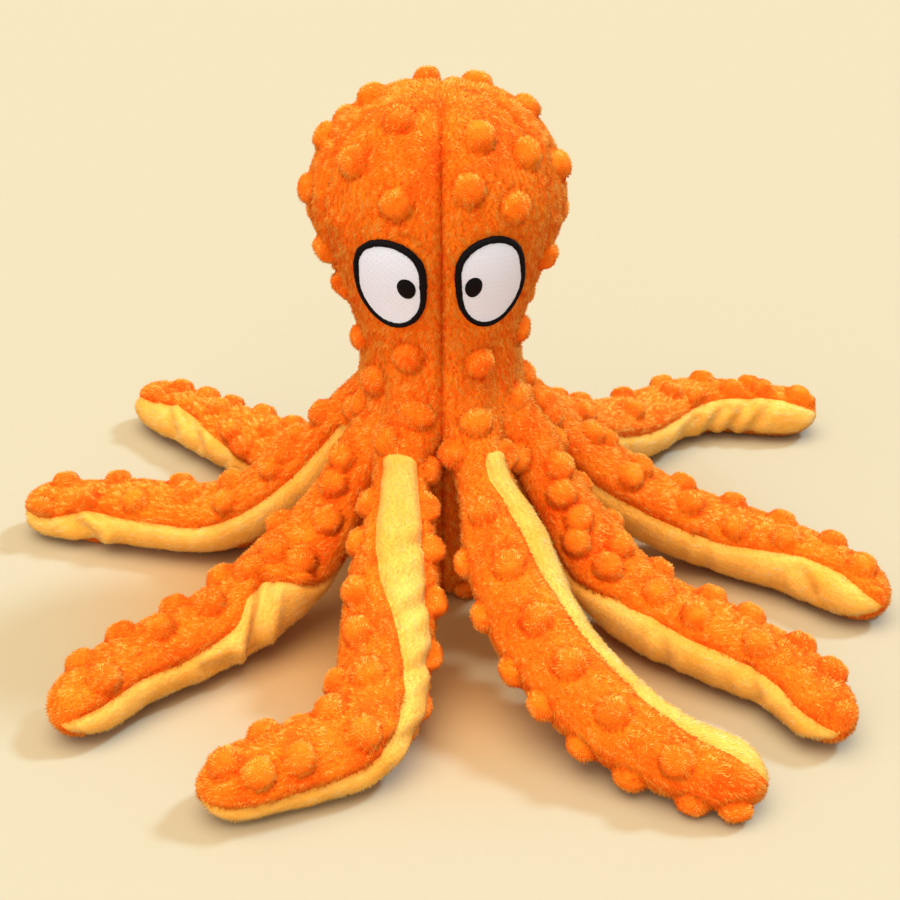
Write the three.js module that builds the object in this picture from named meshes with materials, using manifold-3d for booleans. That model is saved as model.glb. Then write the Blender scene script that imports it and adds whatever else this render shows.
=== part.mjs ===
// Plush octopus: a stuffed head and body bag of four bump-plush gores, on eight floppy arms.
// Each arm is an orange top skin sewn to a yellow underside strip round a light filling.
// It flexes at its root and at its knee, half way along. Millimetres, +Z up, the face looks
// towards -Y, and left and right are as seen from the front.

import * as THREE from "three";
import * as BufferGeometryUtils from "three/addons/utils/BufferGeometryUtils.js";
import Module from "manifold-3d";

const wasm = await Module();
wasm.setup();

// Cloth, seams and fits
const clothThickness = 2.5;
const seamGap = 0.3;
const fitGap = 0.3;
const flatDepth = 0.5;
const cutOverrun = 6;

// Head and body bag
const crownHeight = 210;
const headRadius = 45.5;
const headHeight = 168;
const neckRadius = 30.5;
const neckHeight = 102;
const bellyRadius = 31;
const bellyHeight = 62;
const baseRadius = 14;
const crownHoleRadius = 1.5;
const seamPinch = 1.2;
const headSeamAngle = 62;
const neckSeamAngle = 83;
const neckRiseShare = 1.25;

// Arms
const rootCircleRadius = 40;
const rootHeight = 70;
const rootHalfThickness = 11.5;
const armWidth = 35;
const armThickness = 30;
const armRun = 158;
const landingRun = 100;
const swellRun = 34;
const tipLength = 17;
const endHoleRadius = 0.8;
const tipTaperShare = 0.2;
const kneeShare = 0.5;
const stripHalfAngle = 38;

// How far the outer half of an arm turns down and up at its knee, in degrees
const curlDown = 25;
const curlUp = 45;

// Embroidered eyes
const eyeHeight = 145.5;
const eyeAngle = 31;
const eyeHalfLength = 19;
const eyeHalfWidth = 15.2;
const eyeLean = 24;
const eyeLift = 0.6;
const threadThickness = 0.8;
const outlineWidth = 2.1;
const outlineThickness = 1.4;
const pupilRadius = 3.3;
const pupilThickness = 0.5;
const pupilInset = 6.7;
const pupilDrop = 1.5;
const travelStitchWidth = 1.2;

// Squeaker in the belly
const bulbRadius = 13;
const bulbHalfHeight = 12;
const bulbWall = 1.2;
const bulbMouthRadius = 4;
const reedFlangeRadius = 5.5;
const reedFlangeThickness = 1.2;
const reedLength = 6;
const pocketSlack = 0.8;

// Facets
const topColumns = 7;
const undersideColumns = 3;
const fillingFacets = 8;
const domeSteps = 3;
const tubeSteps = 4;
const tipSteps = 2;
const hollowFacets = 12;
const frontColumns = 5;
const backColumns = 6;
const eyeFacets = 16;
const latheFacets = 16;
const bulbSteps = 7;
const planSlices = 48;

const orangePlush = { color: "#f57a1c", roughness: 0.95, metalness: 0 };
const yellowPlush = { color: "#f6c24c", roughness: 0.92, metalness: 0 };
const whiteThread = { color: "#e8e2ec", roughness: 0.7, metalness: 0 };
const blackThread = { color: "#0f0e17", roughness: 0.6, metalness: 0 };
const fibreFilling = { color: "#f3f0ea", roughness: 1, metalness: 0 };
const squeakerPlastic = { color: "#e6e4da", roughness: 0.45, metalness: 0 };

// Each arm's curve on the ground. Angles are in degrees from the front, positive towards +X: where
// it is sewn on, which way it sets off, and how far it bends. The bend lies about the bend share
// of the arm's length, spread to either side of it. The landing share says how far out the arm
// comes down to the ground. The strip angles say which way the underside strip faces at the root
// and at the tip, +90 being straight up.
const evenBend = { bendShare: 0.5, spreadShare: 0.5 };
const lateBend = { bendShare: 0.6, spreadShare: 0.5 };
const elbow = { bendShare: 0.6, spreadShare: 0.13 };
const wrist = { bendShare: 0.7, spreadShare: 0.13 };
const hook = { bendShare: 0.78, spreadShare: 0.13 };
const armPoses = [
  { root: -150, heading: -130, bend: -4, ...evenBend, runShare: 1.12, landingShare: 0.8, strip: [-10, -2] },
  { root: -104, heading: -100, bend: -4, ...evenBend, runShare: 0.94, landingShare: 0.75, strip: [-12, -24] },
  { root: -62, heading: -49, bend: 20, ...hook, runShare: 0.91, landingShare: 0.75, strip: [14, -26] },
  { root: -22.5, heading: -5, bend: -59, ...elbow, runShare: 0.98, landingShare: 1.05, strip: [85, -15] },
  { root: 22.5, heading: 17, bend: 55, ...lateBend, runShare: 1, landingShare: 1.4, strip: [74, 72] },
  { root: 62, heading: 52, bend: -34, ...hook, runShare: 0.97, landingShare: 0.7, strip: [-165, -170] },
  { root: 104, heading: 94, bend: -63, ...lateBend, runShare: 0.99, landingShare: 0.95, strip: [-150, -153] },
  { root: 150, heading: 137, bend: -55, ...wrist, runShare: 1.32, landingShare: 1.25, strip: [-165, -180] },
];

const radians = THREE.MathUtils.degToRad;
const degrees = THREE.MathUtils.radToDeg;
const mix = THREE.MathUtils.lerp;
const ease = (value) => THREE.MathUtils.smoothstep(value, 0, 1);
const listOf = (count, make) => Array.from({ length: count }, (_, i) => make(i));
const vertical = new THREE.Vector3(0, 0, 1);

// A level vector of the given length, its angle in degrees from the front.
function level(angle, length) {
  return new THREE.Vector3(Math.sin(radians(angle)), -Math.cos(radians(angle)), 0).multiplyScalar(length);
}

// Solids

function geometryOf(points, index) {
  const geometry = new THREE.BufferGeometry();
  const positions = points.flatMap((point) => point.toArray());
  geometry.setAttribute("position", new THREE.Float32BufferAttribute(positions, 3));
  geometry.setIndex(index);
  return geometry;
}

function solid(source) {
  const bare = source.clone();
  bare.deleteAttribute("normal");
  bare.deleteAttribute("uv");
  const merged = BufferGeometryUtils.mergeVertices(bare);
  const vertProperties = new Float32Array(merged.attributes.position.array);
  const triVerts = new Uint32Array(merged.index.array);
  return new wasm.Manifold(new wasm.Mesh({ numProp: 3, vertProperties, triVerts }));
}

function geometryFrom(manifold) {
  const mesh = manifold.getMesh();
  const geometry = new THREE.BufferGeometry();
  geometry.setAttribute("position", new THREE.BufferAttribute(new Float32Array(mesh.vertProperties), 3));
  geometry.setIndex(new THREE.BufferAttribute(new Uint32Array(mesh.triVerts), 1));
  geometry.computeVertexNormals();
  return geometry;
}

// A closed skin over a row of rings. A ring of one point closes an end.
function loft(rings, closed = false) {
  const starts = rings.map((_, i) => rings.slice(0, i).flat().length);
  const index = [];
  const joints = closed ? rings.length : rings.length - 1;
  for (let i = 0; i < joints; i += 1) {
    const j = (i + 1) % rings.length;
    const here = rings[i].length;
    const next = rings[j].length;
    for (let k = 0; k < Math.max(here, next); k += 1) {
      const a = starts[i] + (k % here);
      const b = starts[i] + ((k + 1) % here);
      const c = starts[j] + ((k + 1) % next);
      const d = starts[j] + (k % next);
      if (here > 1) index.push(a, b, c);
      if (next > 1) index.push(a, c, d);
    }
  }
  return solid(geometryOf(rings.flat(), index));
}

// A piece of cloth: an outer and an inner grid of points, closed along their four edges.
function patch(outer, inner) {
  const rows = outer.length;
  const columns = outer[0].length;
  const back = rows * columns;
  const at = (row, column) => row * columns + column;
  const index = [];
  for (let row = 0; row + 1 < rows; row += 1) {
    for (let column = 0; column + 1 < columns; column += 1) {
      const [a, b] = [at(row, column), at(row, column + 1)];
      const [c, d] = [at(row + 1, column + 1), at(row + 1, column)];
      index.push(a, b, c, a, c, d);
      index.push(back + a, back + c, back + b, back + a, back + d, back + c);
    }
  }
  const bottom = listOf(columns - 1, (i) => at(0, i));
  const right = listOf(rows - 1, (i) => at(i, columns - 1));
  const top = listOf(columns - 1, (i) => at(rows - 1, columns - 1 - i));
  const left = listOf(rows - 1, (i) => at(rows - 1 - i, 0));
  const rim = [...bottom, ...right, ...top, ...left];
  rim.forEach((p, i) => {
    const q = rim[(i + 1) % rim.length];
    index.push(q, p, back + p, q, back + p, back + q);
  });
  return solid(geometryOf([...outer.flat(), ...inner.flat()], index));
}

function lathe(profile) {
  const points = profile.map(([radius, height]) => new THREE.Vector2(radius, height));
  return solid(new THREE.LatheGeometry(points, latheFacets).rotateX(Math.PI / 2));
}

// Head and body bag

// Radius and height of the bag's outline: 0 to 1 is the rounded base, 1 to 2 belly to head,
// and 2 to 3 the dome of the head.
function outline(step) {
  if (step <= 1) {
    const turn = (step * Math.PI) / 2;
    return [baseRadius + (bellyRadius - baseRadius) * Math.sin(turn), bellyHeight * (1 - Math.cos(turn))];
  }
  if (step >= 2) {
    const turn = ((step - 2) * Math.PI) / 2;
    return [headRadius * Math.cos(turn), headHeight + (crownHeight - headHeight) * Math.sin(turn)];
  }
  const height = mix(bellyHeight, headHeight, step - 1);
  if (height < neckHeight) {
    const share = (height - bellyHeight) / (neckHeight - bellyHeight);
    return [mix(bellyRadius, neckRadius, ease(share)), height];
  }
  const share = (height - neckHeight) / (headHeight - neckHeight);
  return [mix(neckRadius, headRadius, ease(share ** neckRiseShare)), height];
}

// The outline's outward direction, as radius and height.
function outlineNormal(step) {
  const nudgeShare = 1e-4;
  const [lowRadius, lowHeight] = outline(Math.max(0, step - nudgeShare));
  const [highRadius, highHeight] = outline(Math.min(3, step + nudgeShare));
  const length = Math.hypot(highRadius - lowRadius, highHeight - lowHeight);
  return [(highHeight - lowHeight) / length, (lowRadius - highRadius) / length];
}

// Where the side seam runs: on the temples of the head, and between the second and third arms.
function sideSeam(height) {
  return mix(neckSeamAngle, headSeamAngle, ease((height - neckHeight) / (headHeight - neckHeight)));
}

// A point on the bag, drawn in at the seams, and moved out by the offset.
function bagPoint(angle, step, offset) {
  const [radius, height] = outline(step);
  const [outward, upward] = outlineNormal(step);
  const seam = sideSeam(height);
  const away = Math.abs(angle);
  const share = away < seam ? away / seam : (away - seam) / (180 - seam);
  const drawn = seamPinch * (1 - Math.sin(Math.PI * share)) ** 3 * (radius / headRadius);
  const point = level(angle, Math.max(0, radius - drawn + outward * offset));
  return point.setZ(height + upward * offset);
}

const baseRowShares = [0, 0.3, 0.62, 1];
const middleRowShares = [1.15, 1.3, 1.5, 1.7, 1.85, 2];
const domeRowShares = [2.25, 2.5, 2.75];
const crownRow = 3 - (2 / Math.PI) * Math.asin(crownHoleRadius / headRadius);
const bagRows = [...baseRowShares, ...middleRowShares, ...domeRowShares, crownRow];

// The hollow that an arm's rounded root turns in, just outside its facets.
function rootHollow(arm) {
  const radius = (rootHalfThickness + fitGap) / Math.cos(Math.PI / hollowFacets) ** 2;
  const ball = new THREE.SphereGeometry(radius, hollowFacets, hollowFacets / 2);
  const turned = ball.rotateX(Math.PI / 2).rotateZ(radians(arm.root));
  return solid(turned.translate(...station(arm, 0).centre.toArray()));
}

function cutByArms(piece) {
  return armPoses.reduce((rest, arm) => rest.subtract(rootHollow(arm)), piece);
}

function gore(side, isFront) {
  const columns = isFront ? frontColumns : backColumns;
  const grid = (offset) =>
    bagRows.map((step) => {
      const [radius, height] = outline(step);
      const inset = degrees(seamGap / 2 / radius);
      const seam = sideSeam(height);
      const start = (isFront ? 0 : seam) + inset;
      const end = (isFront ? seam : 180) - inset;
      const angles = listOf(columns + 1, (i) => side * mix(start, end, i / columns));
      return angles.sort((a, b) => a - b).map((angle) => bagPoint(angle, step, offset));
    });
  return cutByArms(patch(grid(0), grid(-clothThickness)));
}

function undersidePanel() {
  const radius = (baseRadius - seamGap) * Math.cos(Math.PI / latheFacets);
  return lathe([[0, 0], [radius, 0], [radius, clothThickness], [0, clothThickness]]);
}

// The squeaker lies on the underside panel, its reed up.
const bulbMiddle = clothThickness + fitGap + bulbHalfHeight;

function bulbOutline(inset) {
  const radius = bulbRadius - inset;
  const half = bulbHalfHeight - inset;
  const end = Math.PI - Math.asin(bulbMouthRadius / radius);
  return listOf(bulbSteps + 1, (i) => {
    const turn = (end * i) / bulbSteps;
    return [radius * Math.sin(turn), bulbMiddle - half * Math.cos(turn)];
  });
}

const [, bulbMouthHeight] = bulbOutline(0).at(-1);
const reedSeat = bulbMouthHeight + fitGap;
const reedTop = reedSeat + reedFlangeThickness;

function squeakerBulb() {
  return lathe([...bulbOutline(0), ...bulbOutline(bulbWall).reverse()]);
}

function squeakerReed() {
  const stem = bulbMouthRadius - fitGap;
  const bottom = reedSeat - reedLength;
  const flange = [[reedFlangeRadius, reedSeat], [reedFlangeRadius, reedTop], [0, reedTop]];
  return lathe([[0, bottom], [stem, bottom], [stem, reedSeat], ...flange]);
}

// The fibre fills the bag, inside the flats of the gores' facets, with a pocket for the squeaker
// that opens on the underside panel.
function bodyFilling() {
  const depth = clothThickness + fitGap;
  const chord = Math.cos(radians((180 - headSeamAngle) / backColumns / 2));
  const around = (step) => {
    const [radius] = outline(step);
    const turns = listOf(latheFacets, (i) => -180 + (360 * (i + 0.5)) / latheFacets);
    return turns.map((turn) => bagPoint(turn, step, -depth - radius * (1 - chord)));
  };
  const rings = bagRows.slice(0, -1).map(around);
  const floor = rings[0][0].z;
  const bag = loft([[new THREE.Vector3(0, 0, floor)], ...rings, [bagPoint(0, 3, -depth)]]);
  const below = floor - cutOverrun;
  const room = bulbRadius + pocketSlack;
  const roof = reedTop + pocketSlack;
  const neck = [reedFlangeRadius + pocketSlack, roof];
  const pocket = lathe([[0, below], [room, below], [room, bulbMouthHeight], neck, [0, roof]]);
  return cutByArms(bag).subtract(pocket);
}

// Arms

const runOf = (arm) => armRun * arm.runShare;

function headingAt(arm, run) {
  const share = run / runOf(arm);
  return arm.heading + arm.bend * ease((share - arm.bendShare) / (2 * arm.spreadShare) + 0.5);
}

function planPoint(arm, run) {
  const slice = run / planSlices;
  const steps = listOf(planSlices, (i) => level(headingAt(arm, slice * (i + 0.5)), slice));
  return steps.reduce((sum, step) => sum.add(step), level(arm.root, rootCircleRadius));
}

// Half of an arm's width or thickness: it swells from the root and tapers past the knee.
function halfSize(size, arm, run) {
  const outerShare = (run / runOf(arm) - kneeShare) / (1 - kneeShare);
  const full = (size / 2) * (1 - tipTaperShare * ease(outerShare));
  return mix(rootHalfThickness, full, ease(run / swellRun));
}

// The middle line falls from the root in a curve that lands flat on the ground.
function heightAt(arm, run) {
  const rest = halfSize(armThickness, arm, run) - flatDepth;
  return rest + (rootHeight - rest) * Math.max(0, 1 - run / (landingRun * arm.landingShare)) ** 2;
}

function station(arm, run) {
  const nudge = swellRun / 100;
  const slope = (heightAt(arm, run + nudge) - heightAt(arm, run)) / nudge;
  const along = level(headingAt(arm, run), 1).setZ(slope).normalize();
  const across = vertical.clone().cross(along).normalize();
  return {
    centre: planPoint(arm, run).setZ(heightAt(arm, run)),
    along,
    across,
    up: along.clone().cross(across),
    halfWidth: halfSize(armWidth, arm, run),
    halfThickness: halfSize(armThickness, arm, run),
    strip: mix(arm.strip[0], arm.strip[1], run / runOf(arm)),
  };
}

// How much of a short step along the arm is level.
function levelShare(frame) {
  return Math.hypot(frame.along.x, frame.along.y);
}

// A point of an arm's skin at a turn round its section, drawn in by an inset, kept above the
// ground, and shrunk and shifted along the arm where the end is rounded.
function armPoint(frame, turn, inset, scale = 1, shift = 0) {
  const width = (frame.halfWidth - inset) * scale * Math.cos(radians(turn));
  const rise = (frame.halfThickness - inset) * scale * Math.sin(radians(turn));
  const point = frame.centre.clone().addScaledVector(frame.along, shift);
  point.addScaledVector(frame.across, width).addScaledVector(frame.up, rise);
  return point.setZ(Math.max(point.z, inset));
}

// How far short of the knee the inner half ends, so that the outer half's rounded end turns free
// of its rim, and further still on the side towards which the arm curls.
function kneeSetback(knee, turn, columnAngle) {
  const chord = Math.cos(radians(columnAngle / 2));
  const inside = ((knee.halfThickness - clothThickness) * chord) / (knee.halfThickness + fitGap);
  const ball = (knee.halfThickness + fitGap) * Math.sqrt(1 - inside ** 2);
  const rise = Math.sin(radians(turn));
  const limit = rise > 0 ? curlUp : curlDown;
  const wedge = knee.halfThickness * Math.abs(rise) * Math.tan(radians(limit));
  return Math.max(ball, wedge + fitGap / Math.cos(radians(limit)));
}

// The rows of a half arm: its rounded start, the tube, and the rounded tip of an outer half.
function halfRows(isTip) {
  const hole = Math.asin(endHoleRadius / rootHalfThickness);
  const start = listOf(domeSteps, (i) => mix(hole, Math.PI / 2, i / domeSteps)).map((turn) => (
    { share: 0, scale: Math.sin(turn), back: Math.cos(turn), forward: 0 }
  ));
  const tube = listOf(tubeSteps + 1, (i) => ({ share: i / tubeSteps, scale: 1, back: 0, forward: 0 }));
  const tip = listOf(tipSteps, (i) => mix(Math.PI / 2 - hole, 0, i / tipSteps)).reverse().map((turn) => (
    { share: 1, scale: Math.cos(turn), back: 0, forward: Math.sin(turn) }
  ));
  return isTip ? [...start, ...tube, ...tip] : [...start, ...tube];
}

// The grid of a skin piece that spans an angle on either side of a middle, both in degrees.
function skinGrid(arm, half, inset, columns, isTop) {
  const knee = station(arm, runOf(arm) * kneeShare);
  const span = isTop ? 180 - stripHalfAngle : stripHalfAngle;
  const columnAngle = (2 * span) / columns;
  return halfRows(half.isTip).map((row) =>
    listOf(columns + 1, (i) => {
      const share = (2 * i) / columns - 1;
      const facing = (isTop ? 180 : 0) + share * span;
      const endTurn = station(arm, half.end).strip + facing;
      const setback = half.isTip ? 0 : kneeSetback(knee, endTurn, columnAngle);
      const frame = station(arm, mix(half.start, half.end - setback * levelShare(knee), row.share));
      const reach = row.forward > 0 ? tipLength : frame.halfThickness;
      const shift = (row.forward - row.back) * (reach - inset);
      const gapAngle = degrees(seamGap / 2 / (frame.halfThickness * row.scale));
      const turn = frame.strip + facing - share * gapAngle;
      return armPoint(frame, turn, inset, row.scale, shift);
    }),
  );
}

function skin(arm, half, isTop) {
  const columns = isTop ? topColumns : undersideColumns;
  return patch(skinGrid(arm, half, 0, columns, isTop), skinGrid(arm, half, clothThickness, columns, isTop));
}

// The filling keeps inside the flats of the skin's facets, and meets the outer half at the knee.
function armFilling(arm, half) {
  const knee = station(arm, runOf(arm) * kneeShare);
  const chord = Math.cos(radians((180 - stripHalfAngle) / topColumns));
  const inset = clothThickness + 2 * fitGap + knee.halfThickness * (1 - chord);
  const end = half.isTip ? half.end : half.end - (knee.halfThickness + fitGap) * levelShare(knee);
  const ring = (row) => {
    const frame = station(arm, mix(half.start, end, row.share));
    const reach = (row.forward > 0 ? tipLength : frame.halfThickness) - inset;
    const shift = (row.forward - row.back) * reach;
    return listOf(fillingFacets, (i) => armPoint(frame, (360 * i) / fillingFacets, inset, row.scale, shift));
  };
  const rings = halfRows(half.isTip).map(ring);
  const middle = (points) =>
    points.reduce((sum, point) => sum.add(point), new THREE.Vector3()).divideScalar(points.length);
  return loft([[middle(rings[0])], ...rings, [middle(rings.at(-1))]]);
}

function armHalves(arm) {
  const kneeRun = runOf(arm) * kneeShare;
  return [
    { name: "upper", start: 0, end: kneeRun, isTip: false },
    { name: "lower", start: kneeRun, end: runOf(arm) - tipLength, isTip: true },
  ];
}

// Eyes

// A point of an eye, at a distance across and up from its middle along the plush.
function eyePoint(side, across, upward, offset) {
  const stepAt = (height) => 1 + (height - bellyHeight) / (headHeight - bellyHeight);
  const [radius] = outline(stepAt(eyeHeight));
  return bagPoint(side * eyeAngle + degrees(across / radius), stepAt(eyeHeight + upward), offset);
}

// A ring of an eye, drawn in from its outline by an inset. Each eye leans out at the top.
function eyeRing(side, inset, scale, offset) {
  const lean = side * radians(eyeLean);
  return listOf(eyeFacets, (i) => {
    const turn = (-2 * Math.PI * i) / eyeFacets;
    const long = (eyeHalfLength - inset) * scale * Math.sin(turn);
    const wide = (eyeHalfWidth - inset) * scale * Math.cos(turn);
    const across = wide * Math.cos(lean) + long * Math.sin(lean);
    const upward = long * Math.cos(lean) - wide * Math.sin(lean);
    return eyePoint(side, across, upward, offset);
  });
}

// The white filling stitches, laid flat on the plush inside the outline.
function eyeWhite(side) {
  const high = eyeLift + threadThickness;
  const inset = outlineWidth + fitGap;
  return loft([
    [eyePoint(side, 0, 0, high)],
    eyeRing(side, inset, 1 / 2, high),
    eyeRing(side, inset, 1, high),
    eyeRing(side, inset, 1, eyeLift),
    eyeRing(side, inset, 1 / 2, eyeLift),
    [eyePoint(side, 0, 0, eyeLift)],
  ]);
}

// The black stitches: a satin outline, the pupil, and the travel stitch that runs between them.
function eyeBlack(side) {
  const low = eyeLift + threadThickness + fitGap;
  const high = low + pupilThickness;
  const outlineHigh = eyeLift + outlineThickness;
  const corners = [
    eyeRing(side, outlineWidth, 1, eyeLift),
    eyeRing(side, 0, 1, eyeLift),
    eyeRing(side, 0, 1, outlineHigh),
    eyeRing(side, outlineWidth, 1, outlineHigh),
  ];
  const outlineRings = listOf(eyeFacets, (i) => corners.map((corner) => corner[i]));
  const middle = -side * pupilInset;
  const pupilRing = (offset) =>
    listOf(eyeFacets, (i) => {
      const turn = (-2 * Math.PI * i) / eyeFacets;
      const upward = pupilRadius * Math.sin(turn) - pupilDrop;
      return eyePoint(side, middle + pupilRadius * Math.cos(turn), upward, offset);
    });
  const pupilMiddle = (offset) => [eyePoint(side, middle, -pupilDrop, offset)];
  const pupil = loft([pupilMiddle(high), pupilRing(high), pupilRing(low), pupilMiddle(low)]);
  const noseEdge = -side * (eyeHalfWidth - outlineWidth / 2);
  const ends = [middle, noseEdge].sort((a, b) => a - b);
  const travelPoint = (share, rise, offset) =>
    eyePoint(side, mix(ends[0], ends[1], share), (rise * travelStitchWidth) / 2 - pupilDrop, offset);
  const travelRing = (share) => [
    travelPoint(share, -1, low),
    travelPoint(share, 1, low),
    travelPoint(share, 1, high),
    travelPoint(share, -1, high),
  ];
  const travelEnd = (share) => [travelPoint(share, 0, (low + high) / 2)];
  const travel = loft([travelEnd(0), travelRing(0), travelRing(1 / 2), travelRing(1), travelEnd(1)]);
  return loft(outlineRings, true).add(pupil).add(travel);
}

// The assembly: each arm hangs in a group at its root, its outer half in a group at its knee.
const octopus = new THREE.Group();
const ground = new THREE.Vector3();

function addMesh(parent, origin, name, piece, finish) {
  const geometry = geometryFrom(piece).translate(-origin.x, -origin.y, -origin.z);
  const mesh = new THREE.Mesh(geometry, new THREE.MeshStandardMaterial(finish));
  mesh.name = name;
  parent.add(mesh);
}

for (const [sideName, side] of [["left", -1], ["right", 1]]) {
  addMesh(octopus, ground, `front_${sideName}_gore`, gore(side, true), orangePlush);
  addMesh(octopus, ground, `back_${sideName}_gore`, gore(side, false), orangePlush);
  addMesh(octopus, ground, `${sideName}_eye_white`, eyeWhite(side), whiteThread);
  addMesh(octopus, ground, `${sideName}_eye_black`, eyeBlack(side), blackThread);
}
addMesh(octopus, ground, "underside_panel", undersidePanel(), yellowPlush);
addMesh(octopus, ground, "body_filling", bodyFilling(), fibreFilling);
addMesh(octopus, ground, "squeaker_bulb", squeakerBulb(), squeakerPlastic);
addMesh(octopus, ground, "squeaker_reed", squeakerReed(), squeakerPlastic);

armPoses.forEach((arm, i) => {
  let parent = octopus;
  let origin = ground;
  for (const half of armHalves(arm)) {
    const pivot = station(arm, half.start).centre;
    const group = new THREE.Group();
    group.name = `arm_${i + 1}_${half.name}`;
    group.position.copy(pivot).sub(origin);
    parent.add(group);
    addMesh(group, pivot, `${group.name}_top`, skin(arm, half, true), orangePlush);
    addMesh(group, pivot, `${group.name}_underside`, skin(arm, half, false), yellowPlush);
    addMesh(group, pivot, `${group.name}_filling`, armFilling(arm, half), fibreFilling);
    parent = group;
    origin = pivot;
  }
});

export default octopus;
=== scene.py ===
# Stuffed octopus: orange bump plush over a light-bulb head and eight arms, a smooth yellow strip
# along each arm's underside, and embroidered eyes. Lengths are in millimetres until a mesh is made.

import itertools
import math

import bpy
import numpy as np
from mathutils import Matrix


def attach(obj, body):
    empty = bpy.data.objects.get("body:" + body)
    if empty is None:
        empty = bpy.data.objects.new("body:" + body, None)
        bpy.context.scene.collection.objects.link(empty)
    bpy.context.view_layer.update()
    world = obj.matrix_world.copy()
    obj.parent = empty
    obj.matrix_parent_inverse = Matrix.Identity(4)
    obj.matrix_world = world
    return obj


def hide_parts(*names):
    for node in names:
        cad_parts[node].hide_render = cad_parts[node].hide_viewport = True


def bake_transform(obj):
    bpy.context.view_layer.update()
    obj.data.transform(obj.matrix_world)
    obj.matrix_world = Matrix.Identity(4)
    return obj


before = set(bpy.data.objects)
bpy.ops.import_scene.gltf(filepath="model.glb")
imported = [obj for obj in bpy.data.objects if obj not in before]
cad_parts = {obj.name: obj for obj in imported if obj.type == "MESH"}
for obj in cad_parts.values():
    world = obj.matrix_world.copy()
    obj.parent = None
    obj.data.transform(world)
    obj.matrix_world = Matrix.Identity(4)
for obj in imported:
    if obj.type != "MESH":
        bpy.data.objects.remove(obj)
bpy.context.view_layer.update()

chance = np.random.default_rng(8)
mm = 0.001


# Camera, light and floor

# the camera that took the photo: its place in mm, its pitch in degrees
shot = {"place": (3, -580, 355), "pitch": 27, "focal": 1593, "picture": 900}  # focal in picture pixels


def makeCamera():
    data = bpy.data.cameras.new("camera")
    data.sensor_width = 36
    data.lens = shot["focal"] / shot["picture"] * data.sensor_width
    data.clip_end = 50
    camera = bpy.data.objects.new("camera", data)
    camera.location = [v * mm for v in shot["place"]]
    camera.rotation_euler = (math.radians(90 - shot["pitch"]), 0, 0)
    bpy.context.collection.objects.link(camera)
    bpy.context.scene.camera = camera


def inPicture(points):
    # pixel = middle + focal * (sideways, -upward) / depth, seen from the camera's place
    pitch = math.radians(shot["pitch"])
    away = points - np.array(shot["place"], float)
    depth = away[..., 1] * math.cos(pitch) - away[..., 2] * math.sin(pitch)
    upward = away[..., 1] * math.sin(pitch) + away[..., 2] * math.cos(pitch)
    middle = shot["picture"] / 2
    return np.stack([middle + shot["focal"] * away[..., 0] / depth,
                     middle - shot["focal"] * upward / depth], -1)


def facesCamera(points, normals):
    # normal . unit(camera - point): 1 where the surface faces the camera, 0 where it is seen edge on
    return np.einsum("...i,...i->...", unit(np.array(shot["place"], float) - points), normals)


def linear(colour):
    # sRGB hex to linear: c / 12.92 below 0.04045, else ((c + 0.055) / 1.055) ** 2.4
    values = [int(colour[i:i + 2], 16) / 255 for i in (1, 3, 5)]
    return [c / 12.92 if c <= 0.04045 else ((c + 0.055) / 1.055) ** 2.4 for c in values] + [1.0]


light = {"key": 3.0, "keyColour": "#ACD6FF", "keyFrom": (1.0, 0.4, 1.25), "keySize": 9,
         "front": 2.0, "frontColour": "#FFEEDA", "frontFrom": (-0.45, -1.0, 0.62), "frontSize": 80,
         "top": 3.3, "topColour": "#FFEEDA", "topFrom": (-0.1, -0.15, 1.0), "topSize": 60,
         "dome": 0.65, "domeColour": "#FFEEDA", "sweep": "#F9E7C2"}
# a round floor in mm; its near colour has the toy's warm bounce light painted in, a painted reflection that
# fades to the far colour between the two distances in metres
paper = {"radius": 8000, "sides": 64, "near": "#B58E5C", "far": "#ABA389", "paintedBounceTo": 0.06, "plainFrom": 0.18}


def addNode(tree, kind, settings=None, links=None):
    # one node with its settings (by property or socket name) and links from (node, socket) pairs
    node = tree.nodes.new(kind)
    for name, value in (settings or {}).items():
        if isinstance(name, str) and hasattr(node, name):
            setattr(node, name, value)
        else:
            node.inputs[name].default_value = value
    for name, (source, output) in (links or {}).items():
        tree.links.new(source.outputs[output], node.inputs[name])
    return node


def makeStage():
    world = bpy.data.worlds.new("studio")
    bpy.context.scene.world = world
    world.use_nodes = True
    tree = world.node_tree
    tree.nodes.clear()
    path = addNode(tree, "ShaderNodeLightPath")
    soft = addNode(tree, "ShaderNodeBackground",
                   {"Color": linear(light["domeColour"]), "Strength": light["dome"]})
    seen = addNode(tree, "ShaderNodeBackground", {"Color": linear(light["sweep"]), "Strength": 1.0})
    mixed = addNode(tree, "ShaderNodeMixShader",
                    links={0: (path, "Is Camera Ray"), 1: (soft, 0), 2: (seen, 0)})
    addNode(tree, "ShaderNodeOutputWorld", links={"Surface": (mixed, 0)})

    for name in ("key", "front", "top"):
        lamp = bpy.data.lights.new(name, "SUN")
        lamp.energy = light[name]
        lamp.color = linear(light[name + "Colour"])[:3]
        lamp.angle = math.radians(light[name + "Size"])
        softbox = bpy.data.objects.new(name, lamp)
        x, y, z = light[name + "From"]
        softbox.rotation_euler = (0, math.atan2(math.hypot(x, y), z), math.atan2(y, x))
        bpy.context.collection.objects.link(softbox)

    turn = np.linspace(0, 2 * math.pi, paper["sides"], endpoint=False)
    rim = paper["radius"] * np.stack([np.cos(turn), np.sin(turn), 0 * turn], -1)
    floor = makeMesh("floor", rim, np.arange(len(rim)), [len(rim)], material=matteFloor())


# Meshes and noise

def smooth(t):
    # t^2 (3 - 2 t), t held between 0 and 1
    t = np.clip(t, 0, 1)
    return t * t * (3 - 2 * t)


def unit(v):
    # v / |v|
    return v / np.maximum(np.linalg.norm(v, axis=-1, keepdims=True), 1e-12)


def between(low, high, share):
    # low + (high - low) * share
    return low + (high - low) * share


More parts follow.
